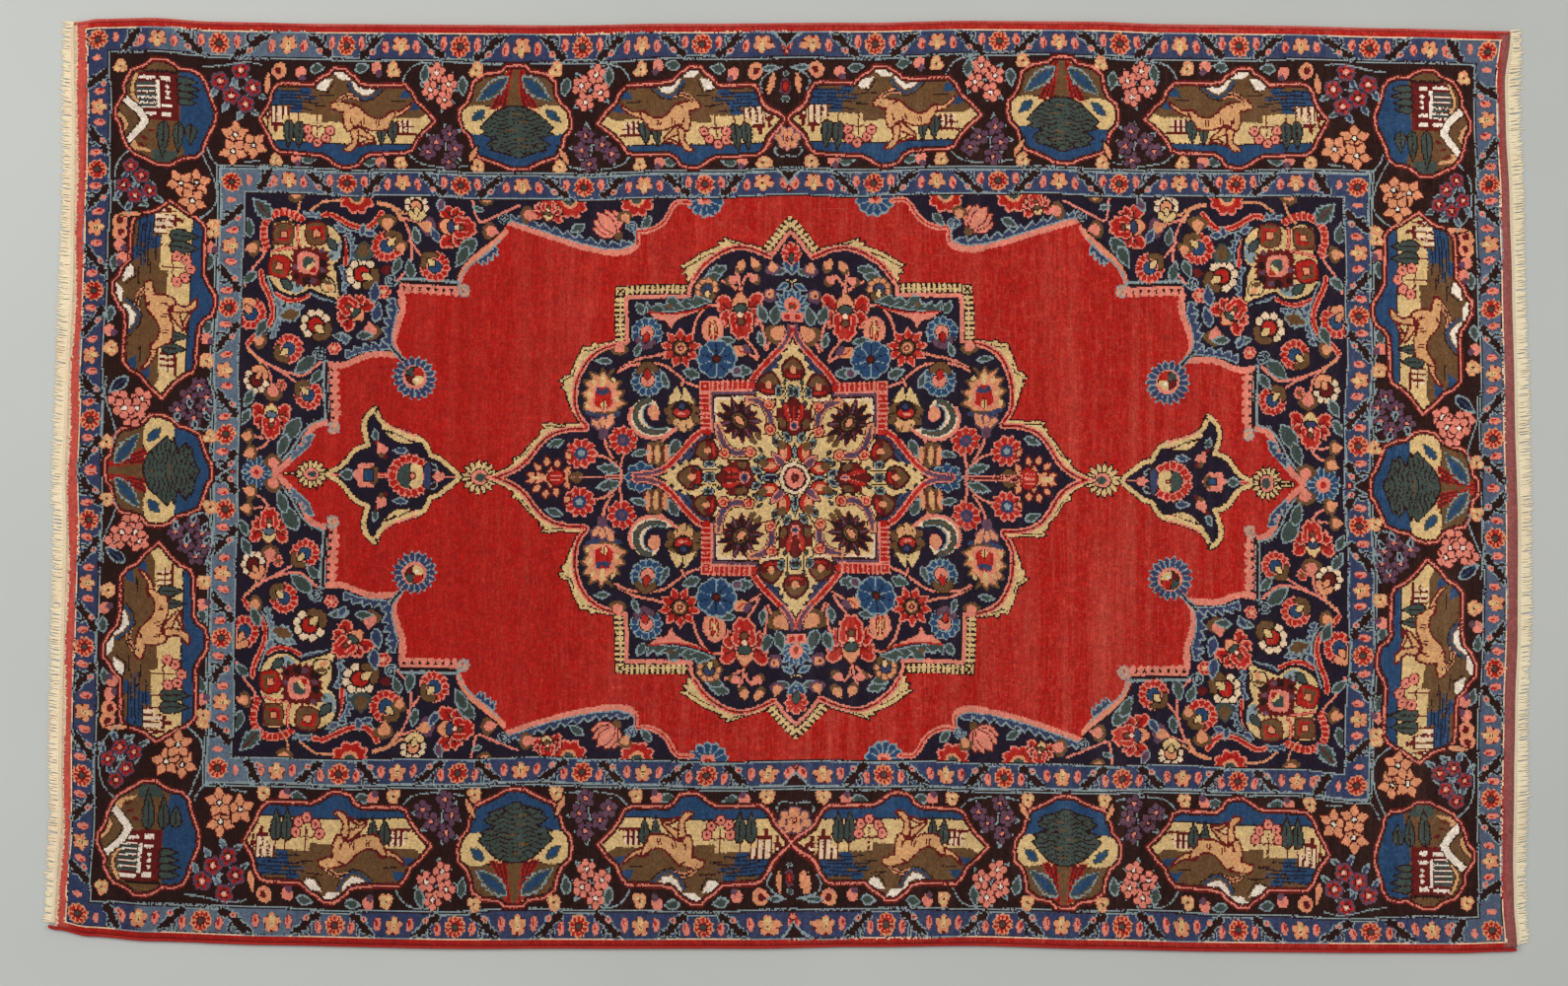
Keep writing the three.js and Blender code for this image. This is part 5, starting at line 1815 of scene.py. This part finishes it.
def give_knots(mesh, grid, packed):
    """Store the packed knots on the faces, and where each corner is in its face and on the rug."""
    long_count, wide_count = grid[0] - 1, grid[1] - 1
    faces = long_count * wide_count
    whole = np.zeros((len(mesh.polygons), 3), np.float32)
    whole[:faces] = packed
    whole[faces:2 * faces] = packed
    mesh.attributes.new("knots", "FLOAT_VECTOR", "FACE").data.foreach_set("vector", whole.ravel())
    corner = np.array([(0, 0), (1, 0), (1, 1), (0, 1)], np.float32)
    patch = np.zeros((len(mesh.loops), 2), np.float32)
    patch[:4 * faces] = np.tile(corner, (faces, 1))
    patch[4 * faces:8 * faces] = np.tile(corner[[0, 3, 2, 1]], (faces, 1))
    mesh.uv_layers.new(name="patch").data.foreach_set("uv", patch.ravel())
    ends = np.zeros(len(mesh.vertices) * 3, np.float32)
    mesh.vertices.foreach_get("co", ends)
    ends = ends.reshape(-1, 3)
    low, high = ends.min(0), ends.max(0)
    at = np.zeros(len(mesh.loops), np.int32)
    mesh.loops.foreach_get("vertex_index", at)
    flat = (ends[at][:, :2] - low[:2]) / (high[:2] - low[:2])
    # The upper face takes most of the map, and the back a copy in the strip that is left
    flat[:, 0] *= 0.99
    flat[:4 * faces, 1] = flat[:4 * faces, 1] * 0.62 + 0.37
    flat[4 * faces:, 1] = flat[4 * faces:, 1] * 0.36
    mesh.uv_layers.new(name="OFBake").data.foreach_set("uv", flat.astype(np.float32).ravel())


def tube(path, radii, sides, twist, ridge):
    """Points and faces of a closed tube of two twisted plies along a path."""
    plies = 2
    path = np.asarray(path, float)
    heading = np.gradient(path, axis=0)
    heading /= np.linalg.norm(heading, axis=1)[:, None]
    up = np.array([0.0, 0.0, 1.0])
    side = np.cross(up, heading)
    side /= np.linalg.norm(side, axis=1)[:, None]
    lift = np.cross(heading, side)
    run = np.concatenate([[0], np.cumsum(np.linalg.norm(np.diff(path, axis=0), axis=1))])
    a = TAU * np.arange(sides) / sides
    rings = []
    for k in range(len(path)):
        reach = radii[k] * (1 + ridge * np.cos(plies * (a - twist * run[k])))
        outwards = np.cos(a)[:, None] * side[k] + np.sin(a)[:, None] * lift[k]
        rings.append(path[k] + reach[:, None] * outwards)
    points = np.concatenate(rings)
    faces = []
    for k in range(len(path) - 1):
        for j in range(sides):
            p, q = k * sides + j, k * sides + (j + 1) % sides
            faces.append((p, q, q + sides, p + sides))
    faces.append(tuple(range(sides))[::-1])
    last = (len(path) - 1) * sides
    faces.append(tuple(range(last, last + sides)))
    return points, faces


def joined(parts):
    """Several closed bodies as one list of points and faces."""
    points, faces, count = [], [], 0
    for more, about in parts:
        points.append(more)
        faces += [tuple(i + count for i in face) for face in about]
        count += len(more)
    return np.concatenate(points), faces


def make_cord(name, edge, side, tail):
    """Overcast edge: a cord that wool yarn wraps round and round."""
    steps = 4
    t = 1.0 if side > 0 else 0.0
    ends = [float(sheet_point(s, t)[0]) for s in (0.0, 1.0)]
    x = np.arange(ends[0] - tail, ends[1], YARN / steps)
    rng = np.random.default_rng(21 + side)
    wrap = np.repeat(rng.normal(0, 1, len(x) // steps + 1), steps)[: len(x)]
    phase = (np.arange(len(x)) % steps) / steps
    swell = 1 - 0.085 * (phase == 0) - 0.02 * (phase == 0.75) + 0.022 * wrap
    end = np.minimum(x - x[0], x[-1] - x) / 3.0
    swell *= 0.72 + 0.28 * np.clip(end, 0, 1) ** 0.5
    y = along(edge, x) - side * 0.5 * CORD_WIDTH
    sides = 12
    a = TAU * np.arange(sides) / sides
    lean = 0.35 * YARN * np.sin(a)
    half_wide, half_high = 0.5 * CORD_WIDTH * 0.97, 0.5 * CORD_HEIGHT * 0.97
    px = x[:, None] + lean
    py = y[:, None] + side * half_wide * np.cos(a) * swell[:, None]
    pz = half_high + 0.1 + half_high * np.sin(a) * np.minimum(swell, 1.02)[:, None]
    points = np.stack([px, py, pz], -1).reshape(-1, 3)
    points[:, 2] = np.maximum(points[:, 2], 0.0)
    index = np.arange(len(x) * sides).reshape(len(x), sides)
    nxt = np.roll(index, -1, 1)
    quads = np.stack([index[:-1], index[1:], nxt[1:], nxt[:-1]], -1).reshape(-1, 4)
    if side > 0:
        quads = quads[:, ::-1]
    caps = [tuple(index[0])[::-1], tuple(index[-1])]
    if side < 0:
        caps = [caps[0][::-1], caps[1][::-1]]
    faces = [tuple(q[::-1]) for q in quads] + caps
    return new_object(name, to_model(points), faces)


def make_fringe(name, reach_table, side):
    """Warp ends: a woven strip at the pile's end, then twisted cotton strands lying close together."""
    rng = np.random.default_rng(31 + side)
    s = 1.0 if side > 0 else 0.0
    t = np.linspace(0.003, 0.997, 330)
    end_x, end_y = sheet_point(np.full_like(t, s), t)
    parts = []
    # Strip, ribbed by the wefts that run along it
    profile = [(0.35, 0.2), (0.35, 3.0), (1.3, 3.5), (2.2, 3.1), (3.1, 3.4), (4.0, 2.9), (4.9, 3.1),
               (5.6, 2.4), (5.6, 0.2)]
    rows = []
    for k in range(len(t)):
        weave = 0.16 * (1 if k % 2 else -1)
        for out, up in profile:
            lift = weave * math.cos(out * 3.4) if up > 1 else 0
            rows.append((end_x[k] + side * out, end_y[k], up + lift))
    wide = len(profile)
    faces = []
    for k in range(len(t) - 1):
        for j in range(wide):
            p, q = k * wide + j, k * wide + (j + 1) % wide
            faces.append((p, p + wide, q + wide, q) if side < 0 else (p, q, q + wide, p + wide))
    first, last = tuple(range(wide)), tuple(range((len(t) - 1) * wide, len(t) * wide))
    faces += [first, last[::-1]] if side < 0 else [first[::-1], last]
    parts.append((np.array(rows), faces))
    for k in range(STRANDS):
        share = 0.004 + 1.001 * (k + 0.5) / STRANDS
        root = 4.2 if share < 0.996 else 0.6
        x0, y0 = (float(v) for v in sheet_point(s, share))
        reach = float(along(reach_table, y0)) + 1.5 * rng.normal()
        layer = k % 2
        r = 1.2 + 0.25 * rng.uniform(-1, 1)
        drift = STRAND_SLANT * reach + 0.9 * rng.normal()
        bow = 0.9 * rng.normal()
        n = 8
        f = np.linspace(0, 1, n)
        px = x0 + side * (root + f * (reach - root))
        py = y0 + drift * f**1.4 + bow * np.sin(math.pi * f)
        high, low = 2.2 + 0.5 * layer, 1.05 + 0.5 * layer * rng.uniform(0, 1)
        pz = high + (low - high) * np.minimum(1, f * 2.2)
        pz[-1] = max(0.9, pz[-1] - 0.2)
        radii = r * np.array([0.8, 1, 1, 1, 0.95, 0.85, 0.7, 0.3])
        parts.append(tube(np.stack([px, py, pz], -1), radii, 6, twist=1.15, ridge=0.16))
    points, faces = joined(parts)
    return new_object(name, to_model(points), faces)


def tidy_normals(piece):
    """Faces of every closed body turned outwards."""
    work = bmesh.new()
    work.from_mesh(piece.data)
    bmesh.ops.recalc_face_normals(work, faces=work.faces)
    work.to_mesh(piece.data)
    work.free()
    for face in piece.data.polygons:
        face.use_smooth = True


# Materials: every node is made by the small helpers below

# Screen colours of the inks, in the chart's order, where the wool is fresh and where it is worn
PALETTE = [
    (165, 17, 10), (92, 18, 16), (27, 18, 33), (47, 53, 83), (130, 143, 144), (222, 190, 156),
    (210, 174, 118), (216, 122, 102), (212, 136, 97), (36, 14, 11), (98, 66, 38), (56, 66, 60),
    (206, 150, 100), (92, 58, 76), (33, 60, 93), (228, 210, 190),
]
WORN_PALETTE = [
    (208, 96, 78), (124, 52, 44), (54, 44, 56), (88, 97, 119), (140, 152, 154), (222, 200, 170),
    (206, 178, 132), (218, 148, 128), (208, 148, 108), (72, 46, 38), (122, 96, 70), (92, 98, 90),
    (194, 152, 108), (118, 94, 104), (72, 100, 130), (226, 214, 200),
]


def linear(colour):
    """Colour as a screen shows it, from 0 to 255, as the shader's own numbers."""
    def one(v):
        v = v / 255
        return v / 12.92 if v <= 0.04045 else ((v + 0.055) / 1.055) ** 2.4
    return tuple(one(v) for v in colour) + (1.0,)


class Shader:
    """Material with a Principled shader and short calls that add nodes."""

    def __init__(self, name):
        self.material = bpy.data.materials.new(name)
        self.material.use_nodes = True
        self.tree = self.material.node_tree
        self.surface = self.tree.nodes["Principled BSDF"]

    def node(self, kind, **settings):
        made = self.tree.nodes.new(kind)
        for key, value in settings.items():
            setattr(made, key, value)
        return made

    def feed(self, socket, value):
        if isinstance(value, bpy.types.NodeSocket):
            self.tree.links.new(value, socket)
        else:
            socket.default_value = value

    def math(self, operation, *values, clamp=False):
        made = self.node("ShaderNodeMath", operation=operation, use_clamp=clamp)
        for socket, value in zip(made.inputs, values):
            self.feed(socket, value)
        return made.outputs[0]

    def place(self):
        return self.node("ShaderNodeTexCoord").outputs["Object"]

    def split(self, vector):
        made = self.node("ShaderNodeSeparateXYZ")
        self.feed(made.inputs[0], vector)
        return made.outputs

    def scaled(self, vector, by):
        made = self.node("ShaderNodeVectorMath", operation="MULTIPLY")
        self.feed(made.inputs[0], vector)
        made.inputs[1].default_value = by
        return made.outputs[0]

    def noise(self, vector, scale, detail=2.0, rough=0.5, stretch=(1, 1, 1)):
        made = self.node("ShaderNodeTexNoise")
        self.feed(made.inputs["Vector"], self.scaled(vector, stretch))
        made.inputs["Scale"].default_value = scale
        made.inputs["Detail"].default_value = detail
        made.inputs["Roughness"].default_value = rough
        return made.outputs["Fac"]

    def range(self, value, low, high, to_low=0.0, to_high=1.0):
        made = self.node("ShaderNodeMapRange")
        for socket, number in zip(made.inputs, (value, low, high, to_low, to_high)):
            self.feed(socket, number)
        return made.outputs[0]

    def mix(self, share, first, second, blend="MIX"):
        made = self.node("ShaderNodeMix", data_type="RGBA", blend_type=blend)
        self.feed(made.inputs[0], share)
        self.feed(made.inputs[6], first)
        self.feed(made.inputs[7], second)
        return made.outputs[2]

    def ramp(self, value, stops, constant=False):
        made = self.node("ShaderNodeValToRGB")
        made.color_ramp.interpolation = "CONSTANT" if constant else "LINEAR"
        points = made.color_ramp.elements
        for k, (at, colour) in enumerate(stops):
            point = points[k] if k < 2 else points.new(at)
            point.position = at
            point.color = colour
        self.feed(made.inputs[0], value)
        return made.outputs[0]

    def brightness(self, colour, value):
        made = self.node("ShaderNodeHueSaturation")
        self.feed(made.inputs["Value"], value)
        self.feed(made.inputs["Color"], colour)
        return made.outputs[0]

    def bump(self, height, distance, strength=1.0, below=None):
        made = self.node("ShaderNodeBump")
        made.inputs["Distance"].default_value = distance
        made.inputs["Strength"].default_value = strength
        self.feed(made.inputs["Height"], height)
        if below is not None:
            self.feed(made.inputs["Normal"], below)
        return made.outputs[0]

    def dressed(self, inputs):
        """The material, once its Principled shader's inputs are fed by name."""
        for name, value in inputs.items():
            self.feed(self.surface.inputs[name], value)
        return self.material


def knot_number(shader):
    """Colour number of the knot that a point of the pile belongs to."""
    m = shader.math
    patch = shader.split(shader.node("ShaderNodeUVMap", uv_map="patch").outputs[0])
    column = m("MINIMUM", m("FLOOR", m("MULTIPLY", patch[0], PATCH_LONG)), PATCH_LONG - 1)
    row = m("MINIMUM", m("FLOOR", m("MULTIPLY", patch[1], PATCH_ACROSS)), PATCH_ACROSS - 1)
    packed = shader.node("ShaderNodeAttribute", attribute_name="knots").outputs["Vector"]
    rows = shader.split(packed)
    chosen = 0.0
    for k in range(PATCH_ACROSS):
        chosen = m("MULTIPLY_ADD", rows[k], m("COMPARE", row, k, 0.5), chosen)
    power = 1.0
    for k in range(1, PATCH_LONG):
        factor = m("MULTIPLY_ADD", m("GREATER_THAN", column, k - 0.5), DIGIT - 1, 1.0)
        power = m("MULTIPLY", power, factor)
    digit = m("FLOORED_MODULO", m("FLOOR", m("DIVIDE", chosen, power)), DIGIT)
    return m("DIVIDE", m("ADD", digit, 0.5), DIGIT)


def wool_pile():
    """Wool knots in the chart's colours, worn, faded and dyed unevenly, with painted light that brightens
    them towards the right and the top.
    """
    shader = Shader("wool_pile")
    m = shader.math
    place = shader.place()
    x, y = shader.split(place)[:2]
    number = knot_number(shader)
    stops = [(k / DIGIT, linear(colour)) for k, colour in enumerate(PALETTE)]
    fresh = shader.ramp(number, stops, constant=True)
    stops = [(k / DIGIT, linear(colour)) for k, colour in enumerate(WORN_PALETTE)]
    worn = shader.ramp(number, stops, constant=True)
    # Wear and uneven dye run the way the wefts do, across the rug
    streaks = shader.noise(place, 1.0, 5, 0.62, (46, 1.6, 0))
    patches = shader.noise(place, 3.2, 3, 0.55, (1, 0.7, 0))
    rubbed = shader.range(streaks, 0.45, 0.72)
    wear_and_painted_light = m("MULTIPLY", rubbed, shader.range(patches, 0.34, 0.66, 0.2, 1.0), clamp=True)
    threads = shader.range(shader.noise(place, 1.0, 3, 0.7, (300, 26, 0)), 0.48, 0.74)
    flecks = shader.range(shader.noise(place, 190, 4, 0.75), 0.5, 0.72)
    wear_and_painted_light = m("ADD", m("MULTIPLY", wear_and_painted_light, 0.5), m("MULTIPLY", flecks, 0.36), clamp=True)
    wear_and_painted_light = m("ADD", wear_and_painted_light, m("MULTIPLY", threads, 0.36), clamp=True)
    creases = shader.range(shader.noise(place, 1.0, 4, 0.7, (11, 520, 0)), 0.60, 0.74)
    creased = shader.range(shader.noise(place, 2.6, 2, 0.5, (1, 1.3, 0)), 0.5, 0.62)
    wear_and_painted_light = m("ADD", wear_and_painted_light, m("MULTIPLY", m("MULTIPLY", creases, creased), 0.7), clamp=True)
    # Painted light and shade: the pile pales less over the left half, so it reads darker there and brighter
    # towards the right
    wear_and_painted_light = m("MULTIPLY", wear_and_painted_light, shader.range(x, -0.50, -0.06, 0.36, 0.8))
    colour = shader.mix(wear_and_painted_light, fresh, worn)
    # A greyer dye lot of blue near the left end, and a paler one at the right end
    stops = [(0, (0, 0, 0, 1)), (BLUE / DIGIT, (1, 1, 1, 1)), ((BLUE + 1) / DIGIT, (0, 0, 0, 1))]
    blue = shader.ramp(number, stops, constant=True)
    ragged = m("MULTIPLY_ADD", shader.noise(place, 1.0, 3, 0.5, (30, 2, 0)), 0.10, m("SUBTRACT", x, 0.05))
    grey = m("MULTIPLY", shader.range(ragged, -0.935, -0.915), shader.range(ragged, -0.60, -0.74))
    grey = m("MAXIMUM", grey, m("MULTIPLY", shader.range(ragged, 0.90, 0.98), 0.6))
    colour = shader.mix(m("MULTIPLY", m("MULTIPLY", blue, grey), 0.85), colour, linear((96, 108, 122)))
    # The plain bands at both ends have faded
    red = m("LESS_THAN", number, 1 / DIGIT)
    faded = m("MULTIPLY", m("MULTIPLY", red, shader.range(x, -1.020, -1.027)), 0.62)
    colour = shader.mix(faded, colour, linear((206, 96, 82)))
    faded = m("MULTIPLY", m("MULTIPLY", red, shader.range(x, 1.016, 1.024)), 0.7)
    colour = shader.mix(faded, colour, linear((126, 88, 84)))
    # Each knot's own shade, then fibres
    knots = shader.node("ShaderNodeTexWhiteNoise", noise_dimensions="2D")
    snapped = shader.node("ShaderNodeVectorMath", operation="SNAP")
    shader.feed(snapped.inputs[0], place)
    snapped.inputs[1].default_value = (KNOT * MM, KNOT * MM, 1)
    shader.feed(knots.inputs["Vector"], snapped.outputs[0])
    shade = m("MULTIPLY_ADD", knots.outputs["Value"], 0.40, 0.79)
    grain = shader.noise(place, 1.0, 3, 0.6, (210, 120, 0))
    shade = m("MULTIPLY", shade, shader.range(grain, 0.3, 0.7, 0.86, 1.14))
    mottle = shader.noise(place, 62, 4, 0.6)
    shade = m("MULTIPLY", shade, shader.range(mottle, 0.28, 0.72, 0.86, 1.13))
    fibres = shader.noise(place, 900, 2, 0.6)
    shade = m("MULTIPLY", shade, shader.range(fibres, 0.3, 0.7, 0.88, 1.10))
    bands = shader.noise(place, 1.0, 3, 0.5, (9, 0.6, 0))
    shade = m("MULTIPLY", shade, shader.range(bands, 0.3, 0.7, 0.93, 1.06))
    # Painted light: the pile brightens towards the right end and the upper side, as if lit more from there
    lean = m("ADD", m("MULTIPLY", x, 0.055), m("MULTIPLY", y, 0.06))
    shade = m("MULTIPLY", shade, m("ADD", lean, 1.0))
    height = m("ADD", m("MULTIPLY", fibres, 0.55), m("MULTIPLY", knots.outputs["Value"], 0.30))
    ridge = m("SINE", m("MULTIPLY", x, TAU / (KNOT * MM)))
    height = m("ADD", height, m("MULTIPLY", ridge, 0.10))
    lumps = shader.bump(shader.noise(place, 38, 3, 0.5), 0.004, 0.35)
    return shader.dressed({
        "Base Color": shader.brightness(colour, shade),
        "Normal": shader.bump(height, 0.0012, 0.7, lumps),
        "Roughness": shader.range(fibres, 0.3, 0.7, 0.82, 0.96),
        "Specular IOR Level": 0.12,
        "Sheen Weight": 0.04,
        "Sheen Roughness": 0.5,
    })


def wrapped_wool(name, fresh, faded):
    """Red wool wound round a core: fibres run round it, and its dye has faded in stretches."""
    shader = Shader(name)
    m = shader.math
    place = shader.place()
    stretches = shader.noise(place, 1.0, 4, 0.6, (9, 1, 1))
    wraps = shader.noise(place, 1.0, 2, 0.5, (420, 8, 8))
    long_fade = shader.range(stretches, 0.35, 0.68, 0, 0.7)
    short_fade = shader.range(wraps, 0.35, 0.7, -0.15, 0.3)
    share = m("ADD", long_fade, short_fade, clamp=True)
    colour = shader.mix(share, linear(fresh), linear(faded))
    fibres = shader.noise(place, 1400, 3, 0.65, (1, 0.35, 0.35))
    return shader.dressed({
        "Base Color": shader.brightness(colour, shader.range(fibres, 0.3, 0.7, 0.82, 1.14)),
        "Normal": shader.bump(fibres, 0.0007, 0.7),
        "Roughness": shader.range(fibres, 0.3, 0.7, 0.78, 0.94),
        "Specular IOR Level": 0.12,
        "Sheen Weight": 0.04,
        "Sheen Roughness": 0.5,
    })


def raw_cotton(name, clean, stained):
    """Undyed cotton that has yellowed and taken some colour from the pile."""
    shader = Shader(name)
    m = shader.math
    place = shader.place()
    strands = shader.noise(place, 1.0, 3, 0.6, (22, 330, 10))
    stains = shader.noise(place, 1.0, 3, 0.55, (20, 9, 1))
    yellowed = shader.range(strands, 0.3, 0.75, 0, 0.4)
    coloured = shader.range(stains, 0.45, 0.7, -0.1, 0.35)
    share = m("ADD", yellowed, coloured, clamp=True)
    colour = shader.mix(share, linear(clean), linear(stained))
    fibres = shader.noise(place, 1500, 3, 0.6, (0.4, 1, 1))
    return shader.dressed({
        "Base Color": shader.brightness(colour, shader.range(fibres, 0.3, 0.7, 0.86, 1.08)),
        "Normal": shader.bump(fibres, 0.0005, 0.6),
        "Roughness": shader.range(fibres, 0.3, 0.7, 0.76, 0.94),
        "Specular IOR Level": 0.3,
        "Sheen Weight": 0.08,
    })


def pale_floor():
    """Painted boards, nearly even, with painted light that makes them a little paler to the left."""
    shader = Shader("pale_floor")
    place = shader.place()
    x = shader.split(place)[0]
    cloud = shader.noise(place, 1.4, 3, 0.5)
    colour = shader.ramp(cloud, [(0.35, linear((180, 182, 177))), (0.65, linear((186, 187, 182)))])
    # Painted light: the floor is brighter to the left and darker to the right, as if lit from the left
    across = shader.range(x, -1.3, 1.3, 1.09, 0.92)
    return shader.dressed({"Base Color": shader.brightness(colour, across), "Roughness": 0.7})


# The rug's pieces, each in place of its CAD node

draw_all()
pile = make_pile()
upper_cord = make_cord("cord_upper", UPPER_EDGE, 1, 0)
lower_cord = make_cord("cord_lower", LOWER_EDGE, -1, TAIL_LENGTH)
left_fringe = make_fringe("fringe_strands_left", LEFT_FRINGE, -1)
right_fringe = make_fringe("fringe_strands_right", RIGHT_FRINGE, 1)

upper_wool = wrapped_wool("wool_wrap_upper", (178, 52, 44), (206, 104, 92))
lower_wool = wrapped_wool("wool_wrap_lower", (160, 30, 26), (176, 48, 40))
left_cotton = raw_cotton("cotton_left", (244, 228, 194), (232, 200, 164))
right_cotton = raw_cotton("cotton_right", (238, 224, 192), (222, 198, 160))

DRESSED = [
    (pile, "knotted_sheet", "wool_pile", wool_pile()),
    (upper_cord, "overcast_cord_upper", "wool_overcasting", upper_wool),
    (lower_cord, "overcast_cord_lower", "wool_overcasting", lower_wool),
    (left_fringe, "fringe_left", "cotton_fringe", left_cotton),
    (right_fringe, "fringe_right", "cotton_fringe", right_cotton),
]
for piece, node, slot, material in DRESSED:
    tidy_normals(piece)
    piece.data.materials.append(material)
    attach(piece, "root")
    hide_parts(node)


# Floor, light and camera

FLOOR_REACH = 14
FLOOR_HEIGHT = -0.0004
LAMP_SIZE = 2.4
LAMP_COLOUR = (1.0, 0.98, 0.95)
SKY_COLOUR = (0.94, 0.97, 1.0, 1)
SKY_STRENGTH = 0.55
LENS_LENGTH = 50
SENSOR_WIDTH = 36
# Where the camera stands in metres, about the outline's own origin, and its tilt in degrees
CAMERA_PLACE = (0.00966, -0.13260, 3.13109)
CAMERA_TILT = (2.142, 0.280, 0.470)


def make_floor():
    """Wide floor just under the rug."""
    signs = ((-1, -1), (1, -1), (1, 1), (-1, 1))
    corners = [(a * FLOOR_REACH, b * FLOOR_REACH, FLOOR_HEIGHT) for a, b in signs]
    floor = new_object("studio_floor", corners, [(0, 1, 2, 3)])
    floor.data.materials.append(pale_floor())
    return floor


def soft_light(name, place, power):
    """Large round lamp that points at the rug's middle."""
    data = bpy.data.lights.new(name, "AREA")
    data.shape = "DISK"
    data.size = LAMP_SIZE
    data.energy = power
    data.color = LAMP_COLOUR
    light = bpy.data.objects.new(name, data)
    light.location = place
    light.rotation_euler = (-Vector(place)).to_track_quat("-Z", "Y").to_euler()
    bpy.context.scene.collection.objects.link(light)


floor = make_floor()
soft_light("lamp_left", (-3.4, 1.6, 3.6), 105)
soft_light("lamp_right", (3.4, 1.2, 3.6), 85)
world = bpy.data.worlds.new("studio")
world.use_nodes = True
sky = world.node_tree.nodes["Background"]
sky.inputs["Color"].default_value = SKY_COLOUR
sky.inputs["Strength"].default_value = SKY_STRENGTH
bpy.context.scene.world = world
bpy.context.scene.view_settings.view_transform = "Standard"

lens = bpy.data.cameras.new("camera")
lens.lens = LENS_LENGTH
lens.sensor_width = SENSOR_WIDTH
camera = bpy.data.objects.new("camera", lens)
camera.location = (CAMERA_PLACE[0] - MIDDLE_X * MM, CAMERA_PLACE[1] - MIDDLE_Y * MM, CAMERA_PLACE[2])
camera.rotation_euler = [math.radians(turn) for turn in CAMERA_TILT]
bpy.context.scene.collection.objects.link(camera)
bpy.context.scene.camera = camera
